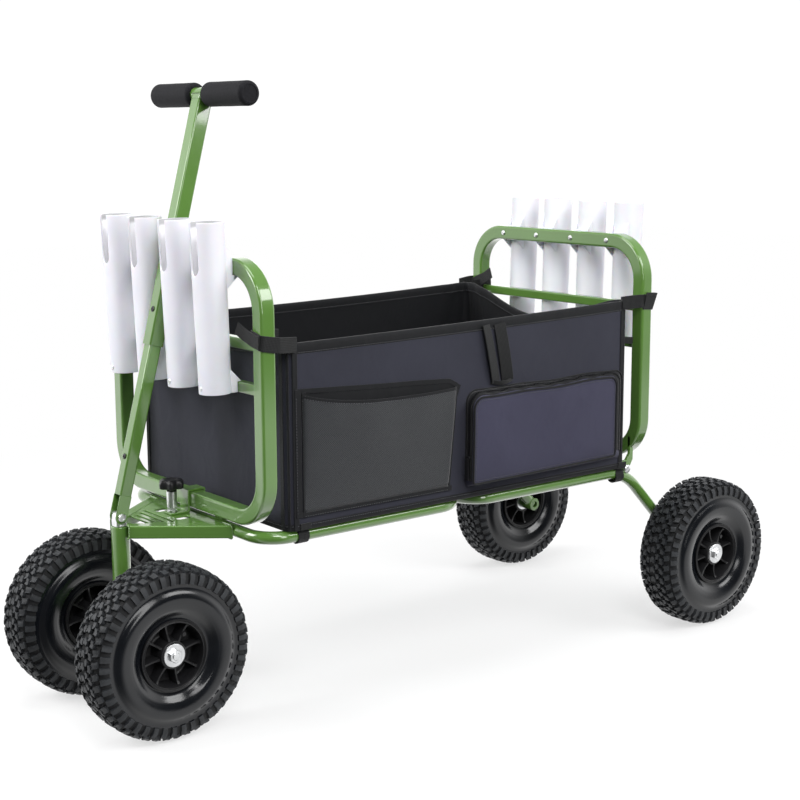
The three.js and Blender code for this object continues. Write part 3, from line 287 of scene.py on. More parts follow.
def riding(name, mesh, body, stands_for):
    """Puts a mesh into the scene as an object that rides on a body and replaces nodes of the solid part."""
    made = bpy.data.objects.new(name, mesh)
    bpy.context.scene.collection.objects.link(made)
    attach(made, body)
    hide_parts(*stands_for)
    return made


def piece(name, body, surfaces, material, crease=38, weld=False, stands_for=()):
    """One object from a surface or a list of them, smooth but for edges sharper than the crease angle."""
    surfaces = surfaces if isinstance(surfaces, list) else [surfaces]
    counts = np.cumsum([0] + [len(part[0]) for part in surfaces])
    mesh = bpy.data.meshes.new(name)
    mesh.vertices.add(counts[-1])
    mesh.vertices.foreach_set("co", np.concatenate([part[0] for part in surfaces]).ravel())
    loops = np.concatenate([part[1] + count for part, count in zip(surfaces, counts)])
    mesh.loops.add(len(loops))
    mesh.loops.foreach_set("vertex_index", loops.astype(np.int32))
    totals = np.concatenate([part[2] for part in surfaces])
    mesh.polygons.add(len(totals))
    mesh.polygons.foreach_set("loop_start", np.concatenate([[0], np.cumsum(totals)[:-1]]).astype(np.int32))
    mesh.update(calc_edges=True)
    layer = mesh.uv_layers.new(name="metres")
    layer.data.foreach_set("uv", np.concatenate([part[3] for part in surfaces]).ravel())
    if weld:
        work = bmesh.new()
        work.from_mesh(mesh)
        bmesh.ops.remove_doubles(work, verts=work.verts, dist=1e-6)
        work.to_mesh(mesh)
        work.free()
    mesh.shade_smooth()
    mesh.set_sharp_from_angle(angle=np.radians(crease))
    mesh.materials.append(material)
    return riding(name, mesh, body, stands_for)


def skin_of(name, color, roughness, **principled):
    """A new material with one Principled shader, and the shader and object coordinates to build on."""
    material = bpy.data.materials.new(name)
    tree, out = tree_of(material)
    shader = wire(tree, "BsdfPrincipled", {"Base Color": (*color, 1), "Roughness": roughness, **principled})
    tree.links.new(shader.outputs[0], out.inputs["Surface"])
    return material, tree, shader, wire(tree, "TexCoord").outputs


def speckle(tree, place, scale, low, high, detail=3.0):
    """Soft noise at a scale per metre, spread between two values."""
    noise = wire(tree, "TexNoise", {"Vector": place, "Scale": scale, "Detail": detail})
    return spread(tree, noise.outputs["Fac"], 0.3, 0.7, low, high)


def tinted(tree, color, value):
    """The colour made lighter or darker by a value round one."""
    return wire(tree, "VectorMath", {0: color, "Scale": value}, operation="SCALE").outputs["Vector"]


def dented(tree, shader, height, strength, distance):
    """Feeds a height into the shader's normal as a bump of the given depth in metres."""
    bump = wire(tree, "Bump", {"Height": height, "Strength": strength, "Distance": distance})
    tree.links.new(bump.outputs["Normal"], shader.inputs["Normal"])


def finish(name, color, roughness, tint=None, gloss=None, grain=None, **principled):
    """A material whose colour, roughness and fine relief vary softly over the piece.

    tint and gloss give a noise's scale per metre and its lowest and highest value. grain gives the
    scale of the relief, its strength, its depth in metres and the detail of its noise.
    """
    material, tree, shader, coords = skin_of(name, color, roughness, **principled)
    if tint:
        shade = speckle(tree, coords["Object"], *tint)
        tree.links.new(tinted(tree, color, shade), shader.inputs["Base Color"])
    if gloss:
        tree.links.new(speckle(tree, coords["Object"], *gloss), shader.inputs["Roughness"])
    if grain:
        scale, strength, depth, detail = grain
        dented(tree, shader, speckle(tree, coords["Object"], scale, 0.0, 1.0, detail), strength, depth)
    return material


green_paint = finish("green_paint", (0.098, 0.215, 0.038), 0.36, (9.0, 0.94, 1.06), (60.0, 0.29, 0.40),
                     (420.0, 0.12, 0.0004, 1.0), **{"Specular IOR Level": 0.2, "Coat Weight": 1.0,
                                                    "Coat Roughness": 0.10, "Coat IOR": 1.7})

bed_z, bed_tube, rail_y, bed_bend = 292, 10, 200, 45
front_cross_x, front_mid_x, rear_mid_x = 388, 8, -12.3
leg_x, axle_x, axle_z, leg_bend = -366.5, 520.5, 132.5, 105
flat_up = [0, 0, 1]
front_line = bent([(front_cross_x, rail_y, bed_z), (front_mid_x, rail_y, bed_z),
                   (front_mid_x, -rail_y, bed_z), (front_cross_x, -rail_y, bed_z)], bed_bend, closed=True)
pad_parts = []
for y in (-75, 75):
    pad_line = bent([(front_cross_x, y, 300), (front_cross_x, y, 309.7)], 0)
    pad_parts.append(surface(sweep(pad_line, squared(24, 1.5, 8), [1, 0, 0]), caps=True))
piece("bed_front", "chassis", [surface(sweep(front_line, ring(bed_tube), flat_up), closed=True)] + pad_parts,
      green_paint, stands_for=["bed_frame_front"])
rear_line = bent([(-axle_x, rail_y, axle_z), (leg_x, rail_y, bed_z), (rear_mid_x, rail_y, bed_z),
                  (rear_mid_x, -rail_y, bed_z), (leg_x, -rail_y, bed_z), (-axle_x, -rail_y, axle_z)],
                 [0, leg_bend, bed_bend, bed_bend, leg_bend, 0], steps=18)
rear_parts = [surface(sweep(rear_line, ring(bed_tube), [0.35, 0.2, 1]), caps=True)]


def walked(line):
    """The distance walked along a line of points, at each of them."""
    return np.concatenate([[0], np.cumsum(np.linalg.norm(np.diff(line, axis=0), axis=1))])


def along_line(line, at, values=None):
    """The line's points, or values that belong to its points, at distances walked along it."""
    columns = np.asarray(line if values is None else values, float).T
    return np.stack([np.interp(at, walked(line), column) for column in columns], axis=-1)


def closed_ring(rows):
    """The rows with the first one again at the end."""
    return np.concatenate([rows, rows[:1]])


def ring_heading(line):
    """The headings of a closed line of points."""
    return unit(np.roll(line, -1, axis=0) - np.roll(line, 1, axis=0))


def weld_bead(line, size, up, pitch=2.6):
    """A rippled bead along a closed line of points: a tube whose radius swells once in each pitch."""
    line = closed_ring(line)
    total = walked(line)[-1]
    count = int(total / pitch) * 6
    smooth = along_line(line, np.arange(count) / count * total)
    heading = ring_heading(smooth)
    swell = size * (1 + 0.16 * np.sin(np.arange(count) / 6 * 2 * np.pi))
    round_it = sweep((smooth, heading), ring(1, 8), up)
    return surface(smooth[:, None] + (round_it - smooth[:, None]) * swell[:, None, None], closed=True)


weld_turn = np.arange(40)[:, None] / 40 * 2 * np.pi
sleeve_radius, leg_seam_radius, leg_seam_size = 12.6, 10.1, 1.4
leg_heading = np.array([np.cos(np.radians(46)), 0, np.sin(np.radians(46))])
leg_across = np.array([-leg_heading[2], 0, leg_heading[0]])
for side in (-1, 1):
    foot = np.array([-axle_x, side * rail_y, axle_z])
    cope = np.sqrt(sleeve_radius ** 2 - (bed_tube * np.sin(weld_turn)) ** 2)
    round_leg = leg_seam_radius * (np.cos(weld_turn) * leg_across + np.sin(weld_turn) * [0, 1, 0])
    rear_parts.append(weld_bead(foot + leg_heading * cope + round_leg, leg_seam_size, leg_heading))
piece("bed_rear", "chassis", rear_parts, green_paint, stands_for=["bed_frame_rear"])

# Joint bolts
# Two zinc-plated M8 bolts through both loops where they lie side by side, with pressed hexagon heads,
# washers, and hexagon nuts whose thread end stands proud.


def set_on(points, axis, at):
    """Takes points built about the Z axis onto another axis, and moves them to a place."""
    return np.roll(points, {"z": 0, "x": 1, "y": 2}[axis], axis=-1) + np.asarray(at, float)


def turned(profile, count=48, axis="z", at=(0, 0, 0), side=1):
    """Turns a profile of radii and heights in mm about an axis: one row for each profile point.

    A side of minus one turns the heights over.
    """
    profile = np.asarray(profile, float) * [1, side]
    angle = np.arange(count) / count * 2 * np.pi
    radius, height = profile[:, :1], np.repeat(profile[:, 1:], count, axis=1)
    return set_on(np.stack([radius * np.cos(angle), radius * np.sin(angle), height], axis=-1), axis, at)


def spun(profile, *ways):
    """The surface of a turned profile."""
    return surface(turned(profile, *ways))


def hexagon(across, low, high, chamfer=0.12):
    """A hexagon head's profile for turned with a count of six: its outer corners are chamfered."""
    corner = across / np.sqrt(3)
    cut = (high - low) * chamfer
    return [(0, low), (corner, low), (corner, high - cut), (corner * 0.9, high), (0, high)]


zinc_steel = finish("zinc_steel", (0.74, 0.75, 0.76), 0.34, (55.0, 0.86, 1.08), (140.0, 0.26, 0.46),
                    (700.0, 0.15, 0.0002, 3.0), Metallic=1.0)
bolt_x, bolt_y, bolt_across = -2, 120, 13
bolt_profiles = [
    (hexagon(bolt_across, 20.3, 25.3), 6),
    (hexagon(bolt_across, -25.3, -20.6)[::-1], 6),
    ([(0, 20.3), (8, 20.3), (8, 21.4), (0, 21.4)], 32),
    ([(0, -21.7), (8, -21.7), (8, -20.6), (0, -20.6)], 32),
    ([(0, -25.5), (3.2, -25.5), (3.9, -24.8), (3.9, 20.5), (0, 20.5)], 24),
]
for side, name in ((1, "left"), (-1, "right")):
    at = (bolt_x, side * bolt_y, bed_z)
    piece(f"bed_bolt_{name}", "chassis", [spun(profile, count, "x", at) for profile, count in bolt_profiles],
          zinc_steel, weld=True, stands_for=[f"bed_joint_bolt_{name}"])

# End frames
# Each is one length of 25 mm square tube bent into a loop and welded shut, with two crossbars of
# 16 mm square tube. The front one stands on two pads, the rear one on plates over the legs' bends.
frame_x, post_y, frame_low_z, frame_top_z = 392.5, 212, 322.5, 694.6
crossbar_zs = {"upper": 583, "lower": 518}
bar_width, bar_end, bar_seam = 16, 199.2, 199.0
holder_ys = np.array([-135, -45, 45, 135])
for side, name in ((1, "front"), (-1, "rear")):
    x = side * frame_x
    loop = bent([(x, post_y, frame_low_z), (x, post_y, frame_top_z),
                 (x, -post_y, frame_top_z), (x, -post_y, frame_low_z)], [62, 65, 65, 62], closed=True)
    piece(f"frame_{name}", "chassis", surface(sweep(loop, squared(25, 4), [1, 0, 0]), closed=True),
          green_paint, stands_for=[f"end_frame_{name}"])
    for level, z in crossbar_zs.items():
        bar = bent([(x, -bar_end, z), (x, bar_end, z)], 0)
        parts = [surface(sweep(bar, squared(bar_width, 2.5), flat_up), caps=True)]
        for end in (-bar_seam, bar_seam):
            seam = np.array([x, end, z]) + np.insert(squared(bar_width + 0.4, 2.6), 1, 0, axis=1)
            parts.append(weld_bead(seam, 1.0, [0, 1, 0]))
        piece(f"bar_{name}_{level}", "chassis", parts, green_paint, stands_for=[f"crossbar_{name}_{level}"])


def prism(outline, low, high, axis="z", at=(0, 0, 0)):
    """A flat outline carried straight from one level to another along an axis, with both ends closed."""
    outline = np.asarray(outline, float)
    rows = np.stack([np.insert(outline, 2, level, axis=1) for level in (low, high)])
    return surface(set_on(rows, axis, at), caps=True)


def eased(made, width, segments=2):
    """Rounds the sharp edges of a piece by a bevel of the given width in mm."""
    bevel = made.modifiers.new("eased", "BEVEL")
    bevel.width, bevel.segments, bevel.limit_method, bevel.angle_limit = width * mm, segments, "ANGLE", 0.7
    return made


bracket_outline = [(311, -388), (353, -388), (353, -380), (322, -380), (311, -372), (309.5, -358),
                   (290, -358), (284, -372)]
for side, name in ((1, "left"), (-1, "right")):
    plate = prism(bracket_outline, side * rail_y - 3, side * rail_y + 3, "y")
    eased(piece(f"bracket_{name}", "chassis", plate, green_paint, stands_for=[f"rear_bracket_{name}"]), 0.6)

# Screws
# Zinc pan-head screws hold the rod holders to the end frames; each head has a socket sunk in it. A
# larger button head holds each bracket to the leg's bend.


def pan_head(radius, height, side, at, axis="x", socket=True):
    """A domed screw head with a socket sunk in its crown, standing off a face along an axis."""
    dome = np.linspace(0, np.pi / 2, 7)[:-1]
    crown = [(radius * (0.98 * np.cos(a) + 0.02), height * (0.25 + 0.75 * np.sin(a))) for a in dome]
    hollow = [(radius * 0.42, height), (radius * 0.40, height * 0.35), (0, height * 0.3)]
    closed_top = [(radius * 0.1, height), (0, height)]
    profile = [(0, -1.0), (radius, -1.0), (radius, 0)] + crown + (hollow if socket else closed_top)
    return spun(profile, 28, axis, at, side)


screw_faces = ((frame_x - 12.5, frame_top_z), (frame_x - bar_width / 2, crossbar_zs["lower"]))
for side, name in ((1, "front"), (-1, "rear")):
    heads = [pan_head(4.6, 2.6, -side, (side * x, y, z)) for x, z in screw_faces for y in holder_ys]
    piece(f"screws_{name}", "chassis", heads, zinc_steel, weld=True)
for side, name in ((1, "left"), (-1, "right")):
    head = pan_head(7.5, 4.2, side, (-368, side * 208.0, 297), "y", False)
    piece(f"leg_bolt_{name}", "chassis", head, zinc_steel, weld=True)

# Rod holders
# Eight white plastic tubes, each with a rounded slot down its outer side and two moulded brackets on
# its inner side. They lean outwards a little towards the top.
holder_radius, holder_wall, holder_length, slot_half, slot_length = 25, 2.5, 250, 10, 66
holder_foot_x, holder_foot_z = 36, 510
holder_lean = np.arctan(8 / holder_length)
white_plastic = finish("white_plastic", (0.86, 0.855, 0.92), 0.34, (14.0, 0.97, 1.02), (80.0, 0.33, 0.46),
                       (900.0, 0.08, 0.0002, 1.0), **{"Subsurface Weight": 0.12, "Subsurface Scale": 0.004,
                                                      "Specular IOR Level": 0.45})
# Painted light and shade: the tube's inside is a lighter white than its outside, standing in for light
# through the thin wall, and its top few millimetres are painted half as bright, a painted shade inside the
# mouth.
inner_lit_color = (0.95, 0.945, 0.97)
inner_plastic_light_and_shade, tree, shader, coords = skin_of("inner_plastic_light_and_shade", inner_lit_color, 0.5)
up_tube = wire(tree, "SeparateXYZ", {"Vector": coords["UV"]}).outputs["Y"]
mouth_shade = spread(tree, up_tube, 0.241, 0.246, 1.0, 0.5)
tree.links.new(tinted(tree, inner_lit_color, mouth_shade), shader.inputs["Base Color"])
tree.links.new(speckle(tree, coords["Object"], 80.0, 0.42, 0.56), shader.inputs["Roughness"])
dented(tree, shader, speckle(tree, coords["Object"], 500.0, 0.0, 1.0, 1.0), 0.15, 0.0003)


def holder_skin():
    """The tube's outer face: an arc at each height, open at the slot by the angle the slot spans there.

    The tube widens a little from its foot to its mouth, as the mould's draft needs.
    """
    slot_low = holder_length - slot_length
    slot_bend = slot_low - slot_half * np.cos(np.linspace(0, np.pi / 2, 9))
    below = [0, 2, 30, 75, 120, slot_low - slot_half - 6]
    above = [slot_low + 25, slot_low + 50, holder_length - 2, holder_length]
    height = np.concatenate([below, slot_bend, above])
    drop = np.clip(slot_low - height, 0, slot_half)
    open_half = np.where(height < slot_low - slot_half, 0, np.sqrt(slot_half ** 2 - drop ** 2))
    gap = np.arcsin(open_half / holder_radius)[:, None]
    angle = np.linspace(1, -1, 65) * (np.pi - gap)
    radius = (holder_radius + 0.9 * (height / holder_length * 2 - 1))[:, None]
    return np.stack([-radius * np.cos(angle), radius * np.sin(angle),
                     np.broadcast_to(height[:, None], angle.shape)], axis=-1)


def leaned(points):
    """Leans a holder's points outwards and sets them at its foot."""
    x, y, z = np.moveaxis(points, -1, 0)
    c, s = np.cos(holder_lean), np.sin(holder_lean)
    return np.stack([x * c + z * s + holder_foot_x, y, z * c - x * s + holder_foot_z], axis=-1)


def thickened(made, name, thickness, offset):
    """Gives a sheet a thickness in mm: offset is -1 behind its faces, 1 before them, 0 to both sides."""
    wall = made.modifiers.new(name, "SOLIDIFY")
    wall.thickness, wall.offset = thickness * mm, offset
    return wall


def tube_back(z):
    """Where along X the brackets' webs meet the leaning tube, at a height."""
    return holder_foot_x + (z - holder_foot_z) * np.tan(holder_lean) - 17.2


tube_points = leaned(holder_skin())
web_y, web_half, lip_half, lip_depth = 16.5, 1.5, 18, 3
upper_web = [(661.6, tube_back(661.6)), (681.7, 2.5), (681.7, 12.8), (707.5, 12.8), (727.6, tube_back(727.6))]
lower_web = [(510.3, 8.3), (510.3, tube_back(510.3)), (545, tube_back(545)), (526.4, 1.5), (526.4, 8.3)]
lips = [[(low, face), (low, face + lip_depth), (high, face + lip_depth), (high, face)]
        for low, high, face in ((681.7, 707.5, 12.8), (510.3, 526.4, 8.3))]
bracket_parts = [(web, edge - web_half, edge + web_half) for web in (upper_web, lower_web)
                 for edge in (-web_y, web_y)] + [(lip, -lip_half, lip_half) for lip in lips]
screw_x, _, screw_z = leaned(np.array([holder_radius - 0.9, 0, 9.0]))
for side, end in ((1, "front"), (-1, "rear")):
    for i, y in enumerate(holder_ys):
        placed = tube_points * [side, side, 1] + [side * frame_x, y, 0]
        tube = piece(f"holder_{end}_{i + 1}", "chassis", surface(placed, around=False, sheet=True),
                     white_plastic, crease=50, weld=True, stands_for=[f"rod_holder_{end}_{i + 1}"])
        tube.data.materials.append(inner_plastic_light_and_shade)
        # The wall's inner face takes the inside material with its painted light and painted shade.
        thickened(tube, "wall", holder_wall, -1).material_offset = 1
        eased(tube, 0.5)
        bracket = [prism([(z, side * x) for z, x in outline], low, high, "y", (side * frame_x, y, 0))
                   for outline, low, high in bracket_parts]
        eased(piece(f"holder_bracket_{end}_{i + 1}", "chassis", bracket, white_plastic), 0.6)
    heads = [pan_head(3.6, 1.4, side, (side * (frame_x + screw_x), y, screw_z)) for y in holder_ys]
    piece(f"holder_screws_{end}", "chassis", heads, zinc_steel, weld=True)

# Drawbar and head tube
# Two 20 mm square tubes run from the front cross-member to the head tube, coped and welded at both
# ends. A slotted 3 mm plate is let in between them, flush with their tops.
tail_x, head_x, head_radius = 398.3, 520.5, 14
bar_angle = np.arctan2(112 - 16, head_x - tail_x)


def cut_off(points, heading, plane_x):
    """Slides a ring of points along the heading to a plane square to X."""
    return points + heading * ((plane_x - points[:, :1]) / heading[0])


def coped(points, heading, axis_x, radius, nose_x):
    """Slides a ring of points along the heading to an upright cylinder, or past it to the nose plane."""
    near = points[:, :2] - [axis_x, 0]
    ahead = near @ heading[:2]
    inside = ahead ** 2 - (near ** 2).sum(axis=1) + radius ** 2
    nose = (nose_x - points[:, 0]) / heading[0]
    reach = np.where(inside > 0, np.minimum(-ahead - np.sqrt(np.maximum(inside, 0)), nose), nose)
    return points + heading * reach[:, None]


for side, name in ((1, "left"), (-1, "right")):
    heading = np.array([np.cos(bar_angle), -side * np.sin(bar_angle), 0])
    tail = np.array([tail_x, side * 112, bed_z])
    line = (np.stack([tail, tail + heading]), np.stack([heading, heading]))
    rings = sweep(line, squared(20, 2.5), flat_up)
    tail_ring = cut_off(rings[0], heading, tail_x)
    head_ring = coped(rings[0], heading, head_x, head_radius - 0.4, head_x + 0.3)
    middle_ring = (tail_ring + head_ring) / 2
    around = sweep(line, squared(21, 3), flat_up)[0]
    head_seam = coped(around, heading, head_x, head_radius + 0.6, head_x + 0.6)
    parts = [surface(np.stack([tail_ring, middle_ring, head_ring]), caps=True),
             weld_bead(cut_off(around, heading, tail_x + 0.6), 1.3, [1, 0, 0]),
             weld_bead(head_seam, 1.2, [1, 0.1, 0])]
    piece(f"drawbar_{name}", "chassis", parts, green_paint, stands_for=[f"drawbar_tube_{name}"])


def cut_plate(name, outlines, low, high, edge, material, body, stands_for=()):
    """A flat plate from closed outlines, the first its rim and the others holes, with eased edges."""
    curve = bpy.data.curves.new(name, "CURVE")
    curve.dimensions, curve.fill_mode = "2D", "BOTH"
    curve.extrude, curve.bevel_depth, curve.bevel_resolution = ((high - low) / 2 - edge) * mm, edge * mm, 1
    curve.offset = -edge * mm
    for outline in outlines:
        outline = np.asarray(outline, float) * mm
        spline = curve.splines.new("POLY")
        spline.points.add(len(outline) - 1)
        spline.points.foreach_set("co", np.pad(outline, ((0, 0), (0, 2)), constant_values=0).ravel())
        spline.use_cyclic_u = True
    drawn = bpy.data.objects.new(name, curve)
    mesh = bpy.data.meshes.new_from_object(drawn)
    bpy.data.objects.remove(drawn)
    heights = np.empty(len(mesh.vertices) * 3)
    mesh.vertices.foreach_get("co", heights)
    heights[2::3] += (low + high) / 2 * mm
    mesh.vertices.foreach_set("co", heights)
    mesh.materials.clear()
    mesh.materials.append(material)
    mesh.shade_smooth()
    mesh.set_sharp_from_angle(angle=np.radians(50))
    return riding(name, mesh, body, stands_for)


inset = 10.3 / np.sin(bar_angle)
tip_x, stud_x = head_x - 34, 429.5
slot_x, slot_pitch, slot_width, slot_rim = 453.5, 12, 5, 7


def edge_y(x):
    """Half the width between the drawbar tubes at a place along X."""
    return (head_x + 16 / np.tan(bar_angle) - inset - x) * np.tan(bar_angle)


gusset_outlines = [[(tail_x, -edge_y(tail_x)), (tip_x, -edge_y(tip_x)), (tip_x, edge_y(tip_x)),
                    (tail_x, edge_y(tail_x))]]
for i in range(3):
    x = slot_x + slot_pitch * i
    half = edge_y(x + slot_width / 2) - slot_rim
    gusset_outlines.append(squared(slot_width, 2.4, 2 * half) + [x, 0])
for side in (-1, 1):
    gusset_outlines.append(squared(24, 5, 17) + [stud_x, side * 31])
gusset_outlines.append(ring(4.5, 24) + [stud_x, 0])
cut_plate("gusset", gusset_outlines, 298.7, 301.7, 0.5, green_paint, "chassis", ["drawbar_gusset"])

head_profile = [(11.4, 205), (13.2, 205), (14, 205.8), (14, 296.2), (13.2, 297), (11.4, 297), (11.4, 205)]
piece("head", "chassis", spun(head_profile, 48, "z", (head_x, 0, 0)), green_paint, weld=True,
      stands_for=["head_tube"])

# Saddle
# A bent strip of 3 mm steel laid over the front loop's bottom bar. Its foot lies on the slotted plate,
# where the clamp's stud holds it down.
roof, foot_top = 335.3, 305
saddle_outline = [(foot_top, 376.7), (foot_top, 379.7), (roof, 379.7), (roof, 405.3), (302, 405.3),
                  (302, 438.3), (foot_top, 438.3), (foot_top, 408.3), (roof + 3, 408.3), (roof + 3, 376.7)]
eased(piece("saddle", "chassis", prism(saddle_outline, -13, 13, "y"), green_paint,
            stands_for=["frame_saddle"]), 0.8, 3)

# Clamp knob
# A black moulded knob with six lobes and a dished top, on a zinc-plated threaded stud with a sleeve, a
# hexagon nut and a washer.
black_plastic = finish("black_plastic", (0.012, 0.012, 0.013), 0.36, gloss=(110.0, 0.30, 0.46),
                       grain=(1200.0, 0.10, 0.0002, 1.0), **{"Specular IOR Level": 0.32})


def lobed(profile, lobes, depth, at, count=96):
    """Turns a profile about an upright axis, with its radius swelling once for each lobe."""
    profile = np.asarray(profile, float)
    angle = np.arange(count) / count * 2 * np.pi
    radius = profile[:, :1]
    wave = depth * np.cos(lobes * angle) * np.clip(radius / profile[:, 0].max(), 0, 1) ** 2
    radius = np.maximum(radius + wave, 0) * (radius > 0)
    height = np.repeat(profile[:, 1:2], count, axis=1)
    return np.stack([radius * np.cos(angle), radius * np.sin(angle), height], axis=-1) + np.asarray(at, float)


knob_profile = [(0, 337), (7, 337), (7.5, 337.6), (8.5, 341), (13, 342), (16.6, 342.6), (18.2, 344.2),
                (18.4, 350), (17.6, 353.6), (15.2, 355.9), (11.5, 356.8), (8.5, 356.2), (5, 355.3),
                (0, 355.1)]
on_stud = (stud_x, 0, 0)
piece("knob", "clamp", surface(lobed(knob_profile, 6, 2.6, on_stud)), black_plastic, weld=True,
      stands_for=["clamp_knob"])
turns = np.arange(285, 337.5, 0.42)
thread = np.where(np.arange(len(turns)) % 3 == 1, 3.5, 4.0)
stud_profile = [(0, 284.7), (3.4, 284.7)] + list(zip(thread, turns)) + [(4, 338), (0, 338)]
washer_profile = [(0, 305.3), (7.6, 305.3), (8, 305.6), (8, 308), (7.6, 308.3), (0, 308.3)]
stud_sleeve = [(0, 312), (7.4, 312), (8, 312.6), (8, 337.4), (7.4, 338), (0, 338)]
parts = [spun(profile, count, "z", on_stud) for profile, count in (
    (stud_profile, 28), (washer_profile, 40), (hexagon(12, 308.3, 313.5), 6), (stud_sleeve, 40))]
piece("stud", "clamp", parts, zinc_steel, weld=True, stands_for=["clamp_stud"])

# Steering
# The stem turns in the head tube on a collar under its end, and is welded to the front axle tube. A
# zinc-plated lug on its top takes the handle's pivot. The axle rod has a hexagon nut at each end.
stem_profile = [(8, 145.3), (11, 145.3), (11, 198.7), (13.4, 198.7), (14, 199.3), (14, 204.1), (13.4, 204.7),
                (11, 204.7), (11, 297), (8, 297), (8, 145.3)]
stem_radius, tube_radius = 11.4, 12.7
axle_bead = np.array([axle_x, 0, axle_z]) + np.concatenate([
    stem_radius * np.cos(weld_turn), stem_radius * np.sin(weld_turn),
    np.sqrt(tube_radius ** 2 - (stem_radius * np.cos(weld_turn)) ** 2)], axis=1)
piece("stem", "steering", [spun(stem_profile, 48, "z", (head_x, 0, 0)), weld_bead(axle_bead, 1.6, [0, 0, 1])],
      green_paint, weld=True, stands_for=["steering_stem"])
pivot_x, pivot_z, lug_half = 522.5, 312, 8
crown = np.linspace(0, np.pi, 17)
lug_outline = [(297.3, pivot_x + lug_half)]
lug_outline += [(pivot_z + lug_half * np.sin(a), pivot_x + lug_half * np.cos(a)) for a in crown]
lug_outline += [(297.3, pivot_x - lug_half)]
lug_washer = [(0, 297.3), (10.6, 297.3), (11, 297.7), (11, 299.3), (0, 299.3)]
lug_parts = [prism(lug_outline, -lug_half, lug_half, "y"), spun(lug_washer, 40, "z", (head_x, 0, 0))]
eased(piece("lug", "steering", lug_parts, zinc_steel, weld=True, stands_for=["steering_lug"]), 0.6)
front_axle = (axle_x, 0, axle_z)
tube_profile = [(6.3, -89), (11.8, -89), (12.5, -88.3), (12.5, 88.3), (11.8, 89), (6.3, 89), (6.3, -89)]
piece("front_tube", "steering", spun(tube_profile, 48, "y", front_axle), green_paint, weld=True,
      stands_for=["front_axle_tube"])


def axle_end(face, y_end, at, side):
    """A washer, a hexagon nut and a chamfered rod end at the end of an axle."""
    washer = [(0, face), (17, face), (17.5, face + 0.4), (17.5, face + 1.2), (17, face + 1.6),
              (0, face + 1.6)]
    nut = hexagon(19, face + 0.5, y_end - 1.6, 0.16)
    rod_end = [(0, face), (5.9, face), (5.9, y_end - 0.9), (5.0, y_end), (0, y_end)]
    return [spun(profile, count, "y", at, side) for profile, count in ((washer, 48), (nut, 6), (rod_end, 32))]


rod = spun([(0, -153.5), (6, -153.5), (6, 153.5), (0, 153.5)], 32, "y", front_axle)
parts = axle_end(153, 161.0, front_axle, 1) + axle_end(153, 161.0, front_axle, -1) + [rod]
piece("front_rod", "steering", parts, zinc_steel, weld=True, stands_for=["front_axle_rod"])

# Rear axle
# Each leg ends on a short green sleeve. A long zinc-plated bolt through the sleeve carries the wheel,
# with a washer and a hexagon nut outside it.
rear_axle = (-axle_x, 0, axle_z)
sleeve_profile = [(6.3, 189), (11.8, 189), (12.5, 189.7), (12.5, 221.3), (11.8, 222), (6.3, 222), (6.3, 189)]
for side, name in ((1, "left"), (-1, "right")):
    piece(f"sleeve_{name}", "chassis", spun(sleeve_profile, 48, "y", rear_axle, side), green_paint, weld=True,
          stands_for=[f"rear_axle_sleeve_{name}"])
    shank = spun([(0, 202), (6, 202), (6, 286.5), (0, 286.5)], 32, "y", rear_axle, side)
    piece(f"rear_bolt_{name}", "chassis", axle_end(286, 294.0, rear_axle, side) + [shank], zinc_steel,
          weld=True, stands_for=[f"rear_axle_bolt_{name}"])

# Wheels
# Pneumatic block-tread tyres of 265 mm on moulded black rims with eight thin ribs on each side, turning
# on two steel bearings. The tread's blocks stand in staggered rows, with square lugs on both shoulders.
tyre_rubber = finish("tyre_rubber", (0.005, 0.006, 0.008), 0.22, (22.0, 0.8, 1.25), (45.0, 0.13, 0.22),
                     (480.0, 0.06, 0.0004, 3.0))
tread_rubber = finish("tread_rubber", (0.017, 0.019, 0.022), 0.62, (90.0, 0.7, 1.4),
                      grain=(700.0, 0.3, 0.0005, 3.0))
# The groove rubber is painted shade: faces low between the tread's blocks are near black, darker than the
# tread rubber, where shade falls in the recesses.
groove_shade_rubber = finish("groove_shade_rubber", (0.0035, 0.004, 0.005), 0.8, (90.0, 0.6, 1.5))
carcass = np.array([
    (0, 127), (9, 126.9), (18, 126.4), (27, 124.6), (32, 121.5), (35.2, 117), (36.4, 112), (36.5, 107),
    (36.3, 102), (37.6, 98), (39.9, 94), (41.4, 88), (41.2, 81), (39.6, 73.5), (36.6, 67), (33.4, 62.6),
    (31.7, 59.8), (31.0, 57), (30.8, 54.6), (30.7, 52.4)])
lug_pitches = 45
stations = np.array([0.02, 0.05, 0.08, 0.18, 0.30, 0.42, 0.52, 0.55, 0.58, 0.68, 0.80, 0.92])
row_edges = [(-1, 4.6), (7.0, 12.8), (15.4, 21.6), (24.4, 31.4), (34.2, 48.0)]
block_slope, groove_shade_below, seam_at, seam_height = 0.7, 1.6, 86, 0.35


def through(points, at):
    """A smooth curve through the points (Catmull-Rom), at distances along their chords."""
    chord = walked(points)
    slope = np.gradient(points, chord, axis=0)
    i = np.clip(np.searchsorted(chord, at, side="right") - 1, 0, len(points) - 2)
    span = (chord[i + 1] - chord[i])[..., None]
    t = (at - chord[i])[..., None] / span
    return ((2 * t ** 3 - 3 * t ** 2 + 1) * points[i] + (t ** 3 - 2 * t ** 2 + t) * span * slope[i]
            + (3 * t ** 2 - 2 * t ** 3) * points[i + 1] + (t ** 3 - t ** 2) * span * slope[i + 1])


